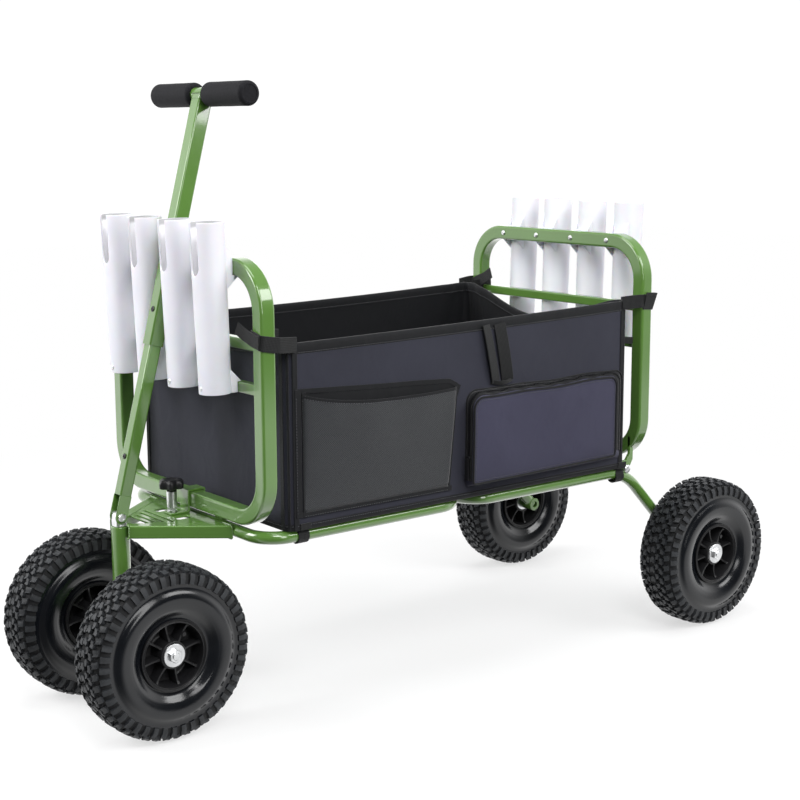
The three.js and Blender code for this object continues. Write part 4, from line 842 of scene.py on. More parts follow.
def tyre_skin(phase):
    """The tyre from bead to bead and round: the carcass profile, raised where a block stands.

    A block's height is the product of its row's window across the tread and its window along it. Rows
    alternate by half a pitch, and triangle waves bend the grooves into a zigzag.
    """
    chord = walked(carcass)[-1]
    tread = np.array([[low - block_slope, low, (low + high) / 2, high, high + block_slope]
                      for low, high in row_edges]).ravel()[2:]
    wall = np.concatenate([[49.6, 51.0, 52.4, 53.8], np.linspace(55.2, chord, 26)])
    half = np.concatenate([tread, wall])
    across = np.concatenate([-half[::-1], [0], half])
    turn = (np.arange(lug_pitches)[:, None] + stations).reshape(-1)
    share = np.tile(stations, lug_pitches)
    s, p = np.meshgrid(across, share, indexing="ij")
    size = np.abs(s)
    weave = 1.3 * (np.abs(((2 * p + 0.5) % 1) * 2 - 1) * 2 - 1)
    bent_size = np.minimum(size + weave * np.clip(size / 5, 0, 1) * np.clip((32 - size) / 6, 0, 1), chord)
    skew = 0.24 * (np.abs((size / 8.4) % 2 - 1) - 0.5) * np.clip((36 - size) / 8, 0, 1)
    angle = (turn[None, :] + skew) / lug_pitches * 2 * np.pi + phase
    place = through(carcass, bent_size)
    step = 0.05
    ahead = through(carcass, np.minimum(bent_size + step, chord))
    tangent = ahead - through(carcass, np.maximum(bent_size - step, 0))
    normal = unit(np.stack([-tangent[..., 1], tangent[..., 0]], axis=-1))
    even = np.interp(p, [0.02, 0.05, 0.55, 0.58], [0, 1, 1, 0])
    odd = np.interp(p, [0.05, 0.08, 0.52, 0.55], [1, 0, 0, 1])
    height = np.zeros_like(s)
    for row, (low, high) in enumerate(row_edges):
        window = np.clip(np.minimum(size - low, high - size) / block_slope + 1, 0, 1)
        shifted = (row % 2 == 1) ^ ((s < 0) & (row > 0))
        worn = 1 - 0.14 * np.sin(5 * turn + 3 * row) ** 2
        tall = np.interp(size, [0, 27, 33, 48], [5.5, 5.5, 5.0, 2.6]) * worn
        height += window * np.where(shifted, odd, even) * tall
    height += seam_height * np.clip(1 - np.abs(size - seam_at) / 1.5, 0, 1)
    profile = place + normal * height[..., None]
    radius = profile[..., 1]
    skin = np.stack([radius * np.cos(angle), np.sign(s) * profile[..., 0], radius * np.sin(angle)], axis=-1)
    return skin, size, height


rim_half = [(9.3, 26.5), (17.2, 26.7), (17.3, 30.4), (17.8, 31), (20.4, 31), (21, 30.4), (21.4, 16),
            (22.5, 5), (24, 3), (27, 2.5), (43, 2.5), (45.5, 3.3), (46.8, 6), (47.6, 20), (48.3, 31.5),
            (49.2, 33.4), (50.4, 33.0), (51.4, 32.6), (52.4, 33.6), (53.4, 34.7), (54.4, 34.6),
            (55, 33.6), (55, 32), (54.4, 31.1), (51.9, 31), (51.7, 30)]
bearing_half = [(8.8, 27), (16.9, 27.1), (17, 30.6), (16.6, 31.1), (12.4, 31.1), (12.0, 30.6), (10.2, 30.6),
                (9.8, 31.1), (6.4, 31.1)]
rim_profile, bearing_profile = [half + [(r, -y) for r, y in half[::-1]] + half[:1]
                                for half in (rim_half, bearing_half)]
valve_profile = [(0, 2), (4.6, 2), (4.4, 5), (3.2, 7), (3.0, 15), (3.8, 15.2), (3.8, 25), (3.2, 26.4),
                 (0, 26.6)]
rib_count, rib_start, valve_radius = 8, 0.25, 34
valve_way = np.array([-0.62, 0, 0.78])
rib_reach = np.array([19.5, 23, 30, 38, 45, 48])
rib_depth = np.array([27.5, 26.2, 24.6, 24.0, 25.0, 27.5])
rib_half = np.array([2.6, 2.0, 1.7, 1.7, 2.0, 2.6])


def rib(angle, face):
    """One rib on a face of the rim, from the hub to the flange: six edges, thinnest at its middle."""
    along, sideways = np.array([[np.sin(angle), 0, np.cos(angle)], [np.cos(angle), 0, -np.sin(angle)]])
    foot = np.full(6, 2.0)
    edges = [(foot, -rib_half), (rib_depth - 0.8, -rib_half), (rib_depth, -rib_half + 0.6),
             (rib_depth, rib_half - 0.6), (rib_depth - 0.8, rib_half), (foot, rib_half)]
    return np.stack([along * rib_reach[:, None] + sideways * half[:, None] + level[:, None] * [0, face, 0]
                     for level, half in edges], axis=1)


wheels = {"front_left": (axle_x, 121), "front_right": (axle_x, -121), "rear_left": (-axle_x, 254),
          "rear_right": (-axle_x, -254)}
for number, (corner, (x, y)) in enumerate(wheels.items()):
    body, at, outward = f"wheel_{corner}", np.array([x, y, axle_z]), np.sign(y)
    points, size, height = tyre_skin(0.4 + 0.7 * number)
    tyre = piece(f"tyre_{corner}_cover", body, surface(points + at, closed=True), tyre_rubber, crease=42,
                 stands_for=[f"tyre_{corner}"])
    tyre.data.materials.append(tread_rubber)
    tyre.data.materials.append(groove_shade_rubber)
    # Faces below the groove depth in the tread take the painted-shade rubber, the rest of the tread the tread
    # rubber.
    face_size = (size + np.roll(size, -1, axis=0)) / 2
    low = (height + np.roll(height, -1, axis=0) + np.roll(height, -1, axis=1)) / 3 < groove_shade_below
    tread_and_shade_marks = np.where(face_size < row_edges[-1][1], np.where(low, 2, 1), 0).astype(np.int32).ravel()
    tyre.data.polygons.foreach_set("material_index", tread_and_shade_marks)
    piece(f"rim_{corner}_moulding", body, spun(rim_profile, 96, "y", at), black_plastic, crease=50, weld=True,
          stands_for=[f"rim_{corner}"])
    ribs = [surface(rib((i + rib_start) * 2 * np.pi / rib_count, face) + at, caps=True)
            for i in range(rib_count) for face in (-1, 1)]
    piece(f"ribs_{corner}", body, ribs, black_plastic)
    piece(f"bearing_{corner}_ring", body, spun(bearing_profile, 64, "y", at), zinc_steel, weld=True,
          stands_for=[f"bearing_{corner}"])
    valve = spun(valve_profile, 24, "y", at + valve_way * valve_radius, outward)
    piece(f"valve_{corner}", body, valve, black_plastic, weld=True)

# Handle
# A 20 mm square tube pinned to the lug telescopes in a 24 mm one, and the two are bolted through. A
# round cross tube is welded on top, with a black foam grip pushed on each end.
lean = np.radians(14.85)
foam, tree, shader, coords = skin_of("black_foam", (0.007, 0.007, 0.009), 0.75, **{"Specular IOR Level": 0.2})
cells = wire(tree, "TexVoronoi", {"Vector": coords["Object"], "Scale": 620.0})
tree.links.new(tinted(tree, (0.007, 0.007, 0.009), speckle(tree, coords["Object"], 260.0, 0.7, 1.4)),
               shader.inputs["Base Color"])
dented(tree, shader, cells.outputs["Distance"], 0.4, 0.0004)


def on_handle(points):
    """Leans points built upright from the pivot back to the parked handle."""
    x, y, z = np.moveaxis(np.asarray(points, float), -1, 0)
    c, s = np.cos(lean), np.sin(lean)
    return np.stack([x * c - z * s + pivot_x, y, z * c + x * s + pivot_z], axis=-1)


def tube_wall(low, high, width, corner, wall):
    """A square tube about the upright axis as one closed surface: its outside, then its inside."""
    outer, inner = squared(width, corner), squared(width - 2 * wall, max(corner - wall, 0.5))
    levels = [(outer * 0.985, low), (outer, low + 0.4), (outer, high - 0.4), (outer * 0.985, high),
              (inner, high), (inner, low)]
    return np.stack([np.insert(ring_points, 2, level, axis=1) for ring_points, level in levels])


def handle_turned(profile, *ways):
    """A turned surface that is built on the upright handle and leaned with it."""
    return surface(on_handle(turned(profile, *ways)))


cross_z, cross_radius, wall, lower_half = 652, 11, 1.6, 10
upper_parts = [surface(on_handle(tube_wall(265, 644, 24, 2.5, wall)), closed=True)]
top_ring, upright = squared(24.6, 3), squared(24, 2.5)
seat = cross_z - np.sqrt(np.maximum(11.6 ** 2 - top_ring[:, 0] ** 2, 0))
cope = cross_z - np.sqrt(cross_radius ** 2 - np.clip(upright[:, 0], -cross_radius, cross_radius) ** 2)
coped_end = np.stack([np.insert(upright, 2, level, axis=1) for level in (643, cope)])
up_handle = on_handle(np.array([0, 0, 1.0])) - on_handle(np.zeros(3))
upper_parts += [surface(on_handle(coped_end), caps=True),
                weld_bead(on_handle(np.insert(top_ring, 2, seat, axis=1)), 1.4, up_handle)]
piece("handle_upper", "handle", upper_parts, green_paint, stands_for=["handle_upper_tube"])

lower_parts = [surface(on_handle(tube_wall(33, 345, 2 * lower_half, 2.5, wall)), closed=True)]
half_in, foot_z = lower_half - wall, 33.2
cheek = [(-10 * np.sin(a), 10 * np.cos(a)) for a in np.linspace(0, np.pi, 13)]
cheek = [(foot_z, 10)] + cheek + [(foot_z, -10)]
for side in (-1, 1):
    faces = [[[x, side * reach, z] for z, x in cheek] for reach in (half_in, lower_half)]
    lower_parts.append(surface(on_handle(np.array(faces)), caps=True))
back = prism([(-1, -10), (foot_z, -10), (foot_z, -8.4), (-1, -8.4)], -half_in, half_in, "y")
lower_parts.append((on_handle(np.asarray(back[0]) / mm) * mm, *back[1:]))
eased(piece("handle_lower", "handle", lower_parts, green_paint, stands_for=["handle_lower_tube"]), 0.5)

at_cross = (0, 0, cross_z)
cross_profile = [(9.4, -122.5), (10.6, -122.5), (11, -122), (11, 122), (10.6, 122.5), (9.4, 122.5),
                 (9.4, -122.5)]
piece("handle_cross", "handle", handle_turned(cross_profile, 48, "y", at_cross), green_paint, weld=True,
      stands_for=["handle_cross_tube"])
arc = np.linspace(0, np.pi / 2, 9)
grip_profile = [(11.3, 18.6)] + [(18.5 - 6 + 6 * np.sin(a), 18.6 + 6 - 6 * np.cos(a)) for a in arc]
grip_profile += [(18.3, 50), (18.45, 75), (18.3, 100)]
grip_profile += [(18.5 - 6.5 + 6.5 * np.cos(a), 131.5 - 6.5 + 6.5 * np.sin(a)) for a in arc[:-1]]
grip_profile += [(12.2, 131.0), (11.9, 130.4), (11.5, 130.4), (0, 130.6), (0, 124), (11.3, 124)]
head_profile = [(0, 10.3), (6.2, 10.3), (6.5, 10.6), (6.5, 12.4), (5.4, 14.0), (3.4, 14.3), (3.2, 12.8),
                (0, 12.6)]
for side, name in ((1, "left"), (-1, "right")):
    grip = surface(on_handle(turned(grip_profile, 56, "y", at_cross, side)), closed=True)
    piece(f"grip_{name}_foam", "handle", grip, foam, weld=True, stands_for=[f"grip_{name}"])
pivot_parts = [handle_turned(head_profile, 40, "y", (0, 0, 0), side) for side in (-1, 1)]
pivot_parts.append(handle_turned([(0, -11), (4, -11), (4, 11), (0, 11)], 32, "y"))
piece("pivot", "handle", pivot_parts, zinc_steel, weld=True, stands_for=["handle_pivot_bolt"])
screw_profile = np.array([(0, -0.6), (2.6, -0.6), (2.9, 0.1), (4.2, 0.1), (4.4, 0.9), (3.6, 1.5), (1.8, 1.6),
                          (1.6, 0.7), (0, 0.6)])
screws = [handle_turned(screw_profile + [0, face], 28, "x", (0, 0, height))
          for height, face in ((92, 10), (319, 12))]
piece("handle_screws", "handle", screws, black_plastic, weld=True)

# Basket
# A box of dark coated weave over soft boards, open at the top. Each panel swells a little between its
# seams, and the rim sags between the corners that the straps hold up, deeply so at the rear.


def woven(name, color, thread, depth, roughness=0.72, sheen=0.12):
    """Plain weave on the texture in metres: two sets of threads that pass over and under each other."""
    material, tree, shader, coords = skin_of(name, color, roughness, **{
        "Sheen Weight": sheen, "Sheen Roughness": 0.45, "Specular IOR Level": 0.2})
    uv = wire(tree, "SeparateXYZ", {"Vector": coords["UV"]}).outputs
    waves = [maths(tree, "SINE", maths(tree, "MULTIPLY", uv[axis], np.pi / thread)) for axis in ("X", "Y")]
    crossing = maths(tree, "ABSOLUTE", maths(tree, "MULTIPLY", *waves))
    shade = maths(tree, "MULTIPLY", spread(tree, crossing, 0, 1, 0.82, 1.12),
                  speckle(tree, coords["Object"], 7.0, 0.90, 1.10))
    tree.links.new(tinted(tree, color, shade), shader.inputs["Base Color"])
    creases = wire(tree, "TexNoise", {"Vector": coords["Object"], "Scale": 16.0, "Detail": 3.0,
                                      "Distortion": 0.6})
    fine = wire(tree, "Bump", {"Height": crossing, "Strength": 0.5, "Distance": depth})
    broad = wire(tree, "Bump", {"Height": creases.outputs["Fac"], "Strength": 0.5, "Distance": 0.0035,
                                "Normal": fine.outputs["Normal"]})
    tree.links.new(broad.outputs["Normal"], shader.inputs["Normal"])
    return material


basket_fabric = woven("basket_fabric", (0.030, 0.031, 0.045), 0.0011, 0.0003)
lining_fabric = woven("lining_fabric", (0.004, 0.0045, 0.006), 0.0011, 0.0003, 0.6, 0.1)
pocket_fabric = woven("pocket_fabric", (0.047, 0.046, 0.079), 0.0012, 0.0003)
binding_tape = woven("binding_tape", (0.007, 0.0075, 0.009), 0.0016, 0.0004, 0.7, 0.15)
webbing = woven("webbing", (0.012, 0.0125, 0.013), 0.0024, 0.0009, 0.7, 0.15)
half_x, half_y, low_z, rim_z, corner_r = 356, 214, 303.4, 594.6, 18
swell, rim_sag, rim_lean = [3.0, 3.5, 3.0, 3.5], [2.0, 46, 3, 12], [1, 7, 5, 6]
rim_bow, rim_fall = [1.0, 1.7, 1.0, 1.3], 13


def bag_line(long_steps=72, short_steps=44, corner_steps=7):
    """The basket's outline seen from above: points, outward directions, side, and place along the side.

    It starts at the front of the near side and runs to the rear. The place goes from -1 to 1 along each
    side, and stays at the limit round the corners.
    """
    parts = []
    straight = [(half_x - corner_r, half_y), (half_y - corner_r, half_x)] * 2
    for side, ((reach, depth), steps) in enumerate(zip(straight, [long_steps, short_steps] * 2)):
        along, out = [((-1, 0), (0, 1)), ((0, -1), (-1, 0)), ((1, 0), (0, -1)), ((0, 1), (1, 0))][side]
        along, out = np.array(along, float), np.array(out, float)
        t = np.linspace(-1, 1, steps + 1)[:, None]
        parts.append((along * reach * t + out * depth, np.repeat(out[None], steps + 1, axis=0),
                      np.full(steps + 1, side), t[:, 0]))
        turn = np.linspace(0, np.pi / 2, corner_steps + 1)[1:-1, None]
        facing = np.cos(turn) * out + np.sin(turn) * along
        middle = along * reach + out * (depth - corner_r)
        parts.append((middle + corner_r * facing, facing, np.full(len(turn), side), np.ones(len(turn))))
    return [np.concatenate(part) for part in zip(*parts)]


line_xy, line_out, line_side, line_place = bag_line()


def rim_at(x, side, place):
    """The rim's height: it falls steadily towards the front, and sags between the corners."""
    sag = np.array(rim_sag)[side] * (1 - place ** 2) ** np.array(rim_bow)[side]
    return rim_z - rim_fall * (x + half_x) / (2 * half_x) - sag


def bag_at(xy, facing, side, place, share, out):
    """Points of the basket's outer face at shares of its height, and at distances out from it in mm.

    The face is the outline moved outwards by a belly between the seams, by slow folds and by a pull
    towards each upper corner, and inwards where the rim leans in and along two slanting creases beside
    the rear right corner. The rim's height falls between corners.
    """
    inner = 1 - place ** 2
    height = np.clip(share, 0, 1)
    reach = np.array(swell)[side] * (1 - place ** 4) * np.sin(np.pi * height) ** 0.7
    folds = 0.9 * np.sin(9 * place + 3.1 * height + side) * np.sin(4 * height + 1.7 * side + 2 * place)
    pull = 1.6 * np.exp(-((np.abs(place) - 0.93 + 0.3 * (1 - height)) / 0.05) ** 2) * height ** 2
    away = np.linalg.norm(xy - np.array([-half_x, -half_y]), axis=-1)
    for start, slant, deep, wide in ((16, 60, 3.4, 8), (44, 110, 3.0, 11)):
        reach = reach - deep * height * np.exp(-((away - start - slant * (1 - height)) / wide) ** 2)
    reach = reach + (folds + pull) * np.clip(inner * 6, 0, 1) * np.sin(np.pi * np.clip(share, 0.02, 0.98))
    reach = reach - np.array(rim_lean)[side] * inner * height ** 3 + out
    top = rim_at(xy[..., 0], side, place)
    level = np.broadcast_to(low_z + (top - low_z) * share, reach.shape)
    return np.concatenate([xy + facing * reach[..., None], level[..., None]], axis=-1)


def bag(share, out):
    """Rings round the basket, one for each pair of height share and distance out."""
    rows = [np.asarray(values, float)[:, None] for values in (share, out)]
    return bag_at(line_xy[None], line_out[None], line_side[None], line_place[None], *rows)


def on_side(x, z, out):
    """Points of the near side at places along X and heights in mm, this far out from its face."""
    x, z, out = np.broadcast_arrays(*[np.asarray(values, float) for values in (x, z, out)])
    place = np.clip(-x / (half_x - corner_r), -1, 1)
    xy = np.stack([x, np.full(x.shape, half_y)], axis=-1)
    share = (z - low_z) / (rim_at(x, 0, place) - low_z)
    return bag_at(xy, np.array([0.0, 1.0]), np.zeros(x.shape, int), place, share, out)


wall_heights = np.concatenate([[0, 0.004], np.linspace(0.015, 0.985, 38), [0.996, 1.0]])
outside = bag(wall_heights, np.concatenate([[-2.4, -0.6], np.zeros(38), [-0.5, -1.6]]))
inside = bag(wall_heights[::-1], np.concatenate([[-2.6, -3.6], np.full(38, -4.2), [-4.2, -4.2]]))
shell = piece("basket_shell", "chassis", surface(np.concatenate([outside, inside]), closed=True),
              basket_fabric, crease=60, stands_for=["basket"])
shell.data.materials.append(lining_fabric)
shell_rows = np.arange(2 * len(wall_heights)) >= len(wall_heights) - 1
shell.data.polygons.foreach_set("material_index", np.repeat(shell_rows, len(line_xy)).astype(np.int32))

grid_x, grid_y = np.meshgrid(np.linspace(-351, 351, 61), np.linspace(-209, 209, 41), indexing="ij")
dish = (1.6 * np.cos(np.pi * grid_x / 702) * np.cos(np.pi * grid_y / 418)
        + 0.5 * np.sin(grid_x / 31) * np.sin(grid_y / 23))
seams = 1.8 * (np.exp(-((np.abs(grid_x) - 118) / 3.0) ** 2) + np.exp(-((np.abs(grid_x) - 349) / 4.0) ** 2))
board = np.stack([grid_x, grid_y, 307.6 - 0.6 * dish - seams * 0.6], axis=-1)
floor_board = piece("basket_floor", "chassis", surface(board, around=False, sheet=True), lining_fabric)
thickened(floor_board, "board", 3.6, -1)

# Bindings and stitches
# Black tape is folded over the rim and sewn down, another runs round the bottom seam, and a cord
# piping stands at each upright corner. The stitches are separate short loops of thread.
rim_share = 15 / 290
fold_heights = np.array([1 - rim_share, 1 - rim_share + 0.003, 0.99, 1.004, 1.008, 1.008, 1.004, 0.99,
                         1 - rim_share + 0.003, 1 - rim_share])
fold_out = np.array([-0.2, 0.9, 1.0, 0.6, -0.6, -3.4, -4.6, -5.2, -5.1, -4.0])
piece("rim_tape", "chassis", surface(bag(fold_heights, fold_out), closed=True), binding_tape, crease=70)
hem_heights = np.array([0.032, 0.030, 0.015, 0.000, -0.004, -0.004, 0.004, 0.03])
hem_out = np.array([-0.4, 1.1, 1.5, 1.3, 0.2, -3.0, -3.6, -1.0])
piece("hem_tape", "chassis", surface(bag(hem_heights, hem_out), closed=True), binding_tape, crease=70)


def stitches(line, outward, length=3.0, pitch=4.4, size=0.42):
    """A row of short thread loops along a line: bowed capsules whose ends dip into the cloth."""
    line = np.asarray(line, float)
    starts = np.arange(pitch / 2, walked(line)[-1] - length, pitch)
    share = np.linspace(0, 1, 6)
    at = starts[:, None] + share * length
    centre = along_line(line, at)
    lift = along_line(line, at, np.broadcast_to(np.asarray(outward, float), line.shape))
    heading = unit(centre[:, -1:] - centre[:, :1])
    side = unit(np.cross(heading, lift))
    centre = centre + lift * (np.sin(np.pi * share) * 0.75 - 0.25)[:, None]
    angle = np.arange(6)[:, None] / 6 * 2 * np.pi
    thin = size * np.array([0.5, 0.95, 1, 1, 0.95, 0.5])[:, None, None]
    tube = centre[:, :, None] + thin * (np.cos(angle) * side[:, :, None] + np.sin(angle) * lift[:, :, None])
    _, loops, sizes, uvs = surface(tube[0], caps=True)
    count = len(starts)
    loops = (loops[None] + np.arange(count)[:, None] * 36).ravel()
    return tube.reshape(-1, 3) * mm, loops, np.tile(sizes, count), np.tile(uvs, (count, 1))


def ring_line(share, out):
    """The closed line round the basket at a share of its height and a distance out."""
    return closed_ring(bag([share], [out])[0])


thread_fibre = finish("thread", (0.055, 0.057, 0.066), 0.6, grain=(2500.0, 0.3, 0.0002, 3.0),
                      **{"Sheen Weight": 0.3})
outwards = closed_ring(np.insert(line_out, 2, 0, axis=1))
sewn = [stitches(ring_line(1 - rim_share + 0.008, 1.15), outwards), stitches(ring_line(0.023, 1.5), outwards),
        stitches(ring_line(1 - rim_share + 0.008, -5.4), -outwards)]
piece("basket_stitches", "chassis", sewn, thread_fibre, crease=80)


def ribbon(line, across, width, thickness):
    """A flat band along a line: a thin rounded rectangle that lies along the across direction."""
    line = np.asarray(line, float)
    heading = unit(np.gradient(line, axis=0))
    across = np.broadcast_to(np.asarray(across, float), line.shape)
    across = unit(across - heading * (across * heading).sum(axis=1, keepdims=True))
    up = np.cross(heading, across)
    section = squared(width, thickness / 2.05, thickness, 3)
    return surface(line[:, None] + section[:, :1] * across[:, None] + section[:, 1:] * up[:, None], caps=True)


def spaced(line, gap=3.0):
    """The line's points set at even distances."""
    total = walked(line)[-1]
    return along_line(line, np.linspace(0, total, int(total / gap) + 2))


cord_inset = corner_r * (1 - np.sqrt(0.5)) - 0.6
seam_levels = low_z + np.linspace(0.0, 0.985, 40) * (rim_z - low_z)
straight_up = np.tile([0, 0, 1.0], (40, 1))
corner_cord = []
for side_x, side_y in ((1, 1), (-1, 1), (-1, -1), (1, -1)):
    cord, edge = [np.insert(np.tile([side_x * (half_x - inset), side_y * (half_y - inset)], (40, 1)),
                            2, seam_levels, axis=1) for inset in (cord_inset, 0.0)]
    corner_cord.append(surface(sweep((cord, straight_up), ring(2.0, 14), [1, 0, 0]), caps=True))
    along, face = np.array([side_x, 0, 0]), np.array([0, side_y, 0])
    for flat, out in ((along, face), (face, along)):
        corner_cord.append(ribbon(edge - flat * (corner_r - 4) + out * 0.9, flat, 9, 1.3))
piece("corner_tapes", "chassis", corner_cord, binding_tape)

# Mesh pocket
# A net panel sewn to the near side along its sides and bottom. Its hemmed top edge is slack and sags
# open, and black tape covers its two upright seams and its bottom seam. A wide black band on the side
# under the mouth is painted shade for the pocket's dark inside.
net, tree, shader, coords = skin_of("pocket_net", (0.02, 0.021, 0.024), 0.7, **{"Sheen Weight": 0.2})
uv = wire(tree, "SeparateXYZ", {"Vector": coords["UV"]}).outputs
hole_pitch = 0.0034
crossings = []
for sign in (1.0, -1.0):
    total = maths(tree, "ADD", maths(tree, "MULTIPLY", uv["X"], sign), uv["Y"])
    wave = maths(tree, "SINE", maths(tree, "MULTIPLY", total, np.pi / hole_pitch))
    crossings.append(maths(tree, "ABSOLUTE", wave))
threads = spread(tree, maths(tree, "MULTIPLY", *crossings), 0.30, 0.55, 1.0, 0.0)
grey = wire(tree, "Mix", {"Factor": threads, 6: (0.005, 0.005, 0.006, 1), 7: (0.017, 0.021, 0.026, 1)},
            data_type="RGBA")
tree.links.new(grey.outputs[2], shader.inputs["Base Color"])
dented(tree, shader, threads, 0.8, 0.0007)

net_left, net_right, net_low, net_top, net_depth = 331, 37, 329, 506, 17


def pocket_net(columns=64, rows=26):
    """The pocket's front: it stands out as the square root of an arch across and a quarter wave up.

    Its top edge falls as a fourth power from the front, its rear edge slants, and slow waves run across it.
    """
    across, up = np.meshgrid(np.linspace(0, 1, columns), np.linspace(0, 1, rows), indexing="ij")
    arch = np.sin(np.pi * across)
    x = net_left + (net_right - net_left) * across + 15 * (1 - up) * across
    z = net_low + up * (net_top - 20 * (1 - (1 - across) ** 4) + 2 * across ** 4 - net_low)
    slack = 0.8 * np.sin(5 * across * np.pi + 2 * up) * arch * up
    stand = 2.0 + (net_depth - 4) * arch ** 0.45 * np.sin(up * np.pi / 2) ** 0.8 + slack
    return on_side(x, z, stand)


net_points = pocket_net()
net_piece = piece("net_panel", "chassis", surface(net_points, around=False, sheet=True), net,
                  stands_for=["mesh_pocket"])
thickened(net_piece, "cloth", 0.9, -1)
out_y, up_z, along_x = np.array([0, 1.0, 0]), np.array([0, 0, 1.0]), np.array([1.0, 0, 0])
hem_line = net_points[:, -1]
mouth_x = np.linspace(net_left + 6, net_right - 2, 60)
mouth_z = np.interp(mouth_x, [36, 51, 108, 186, 262, 330], [493, 501, 504, 507, 511, 514])
bands = [
    (net_left + 7, np.linspace(322, 515, 30), 1.8, along_x, 11, 1.4),
    (net_left - 3, np.linspace(322, 510, 30), 2.4, along_x, 7, 1.4),
    (np.linspace(net_right + 15, net_right, 30), np.linspace(322, 489, 30), 2.2, along_x, 6, 1.4),
    (np.linspace(net_left + 12, net_right + 8, 60), 326.0, 2.2, up_z, 8, 1.4),
    (mouth_x, mouth_z - 2, 1.6, up_z, 8, 1.6),
    # A 42 mm black band under the mouth's back line: painted shade standing in for the dark inside of the
    # open pocket.
    (mouth_x, mouth_z - 22, 0.9, up_z, 42, 0.8),
]
trims = [ribbon(hem_line + [0, 0.1, -2.5], up_z, 6, 1.8)]
trims += [ribbon(on_side(x, z, out), across, width, depth) for x, z, out, across, width, depth in bands]
piece("net_tapes_and_mouth_shade", "chassis", trims, binding_tape)

# Zip pocket
# A flat pouch on the near side with rounded upper corners: a stiff front panel edged with piping, a
# gusset all round it, and a black zip that runs up one side, over the top and down the other.
base_edges = np.array([13.5, -342.5, 322.5, 477])
panel_edges = np.array([17.5, -321, 329.5, 469.5])
deep_end, thin_end = 23, 9
pouch_middle_z, crumpled_above, zip_low, zip_turn_z = 400, 450, 334, 325


def pouch_line(grow, share, steps=9):
    """The pouch's closed outline at a share of its depth, grown by a distance.

    It is a rectangle with two rounded upper corners and two slightly rounded lower ones.
    """
    shift = grow * np.array([1, -1, -1, 1])
    front, rear, low, high = base_edges + (panel_edges - base_edges) * share + shift
    corners = [(front, high, 21), (rear, high, 17), (rear, low, 6), (front, low, 6)]
    parts = []
    for start, (x, z, radius) in enumerate(corners):
        turn = np.linspace(0, np.pi / 2, steps) + start * np.pi / 2
        inwards = np.array([np.sign(x - (front + rear) / 2), np.sign(z - pouch_middle_z)])
        arc = np.stack([np.cos(turn), np.sin(turn)], axis=1)
        parts.append(np.array([x, z]) + (radius + grow) * (arc - inwards))
    line = closed_ring(np.concatenate(parts))
    return along_line(line, np.arange(240) / 240 * walked(line)[-1])


def pouch_depth(x):
    """How far the pouch's front stands out: it thins from its front edge to its rear edge."""
    return np.interp(x, [panel_edges[1], panel_edges[0]], [thin_end, deep_end])


def pouch_ring(grow, share, lift=0.0):
    """The outline set out from the near side by a share of the pouch's depth. Its top edge is crumpled."""
    x, z = np.moveaxis(pouch_line(grow, share), -1, 0)
    on_top = z > crumpled_above
    crumple = on_top * np.sin(np.pi * share) * (np.sin(x / 5.3 + 4 * share) + np.sin(x / 9.1 - 5 * share))
    wander = on_top * (0.9 * np.sin(x / 23) + 0.7 * np.sin(x / 41 + 2))
    return on_side(x, z + 0.9 * crumple + wander, np.maximum(pouch_depth(x) * share, 0.3) + lift)


pouch = np.stack([pouch_ring(0.6, share) for share in np.linspace(0, 1, 13)])
pouch_side = piece("pouch_gusset", "chassis", surface(pouch, sheet=True), pocket_fabric,
                   stands_for=["zip_pocket"])
centre_xz = np.array([(panel_edges[0] + panel_edges[1]) / 2, (panel_edges[2] + panel_edges[3]) / 2])
rim_ring, rim_line = pouch_ring(0.4, 1), pouch_line(0.4, 1)
to_rim = rim_ring - on_side(*rim_line.T, pouch_depth(rim_ring[:, 0]))
panel_rows = []
for share in 1 - np.linspace(0, 1, 20) ** 1.4:
    edge = centre_xz + (rim_line - centre_xz) * share
    puff = 2.2 * (1 - share ** 6) + 0.6 * np.sin(edge[:, 0] / 37) * np.sin(edge[:, 1] / 29) * (1 - share)
    panel_rows.append(on_side(*edge.T, pouch_depth(edge[:, 0]) + puff) + to_rim * share ** 8)
panel = piece("pouch_panel", "chassis", surface(np.stack(panel_rows), sheet=True), pocket_fabric, weld=True)
for cloth_piece in (pouch_side, panel):
    thickened(cloth_piece, "cloth", 1.0, 1)
spots = np.empty(len(panel.data.vertices) * 3)
panel.data.vertices.foreach_get("co", spots)
ids = np.empty(len(panel.data.loops), int)
panel.data.loops.foreach_get("vertex_index", ids)
panel.data.uv_layers[0].data.foreach_set("uv", spots.reshape(-1, 3)[ids][:, [0, 2]].ravel())


def piped(grow, share, lift, size):
    """A round cord along the pouch's edge."""
    line = pouch_ring(grow, share, lift)
    return surface(sweep((line, ring_heading(line)), ring(size, 12), out_y), closed=True)


piece("pouch_piping", "chassis", [piped(-0.4, 1, 0.4, 1.9)], binding_tape)
edge_line = pouch_line(1.4, 0.5)
on_zip = edge_line[:, 1] > zip_low
order = np.argsort(np.arctan2(edge_line[on_zip][:, 1] - zip_turn_z, edge_line[on_zip][:, 0] - centre_xz[0]))
zip_line = pouch_ring(1.4, 0.5)[on_zip][order]
base_line = spaced(pouch_ring(1.2, 0, 1.0)[on_zip][order], 2.0)
piece("zip_edge", "chassis", ribbon(base_line, out_y, 3.4, 3.2), binding_tape)
zip_belt = [pouch_ring(0.9, level)[on_zip][order] for level in np.linspace(0.14, 0.86, 9)]
zip_tape = piece("zip_tape", "chassis", surface(np.stack(zip_belt), around=False, sheet=True), binding_tape)
thickened(zip_tape, "tape", 0.9, 0)
teeth_at = np.arange(1, walked(zip_line)[-1] - 1, 1.7)
tooth_centre = along_line(zip_line, teeth_at)
tooth_way = unit(np.gradient(tooth_centre, axis=0))
tooth_up = np.cross(out_y, tooth_way)
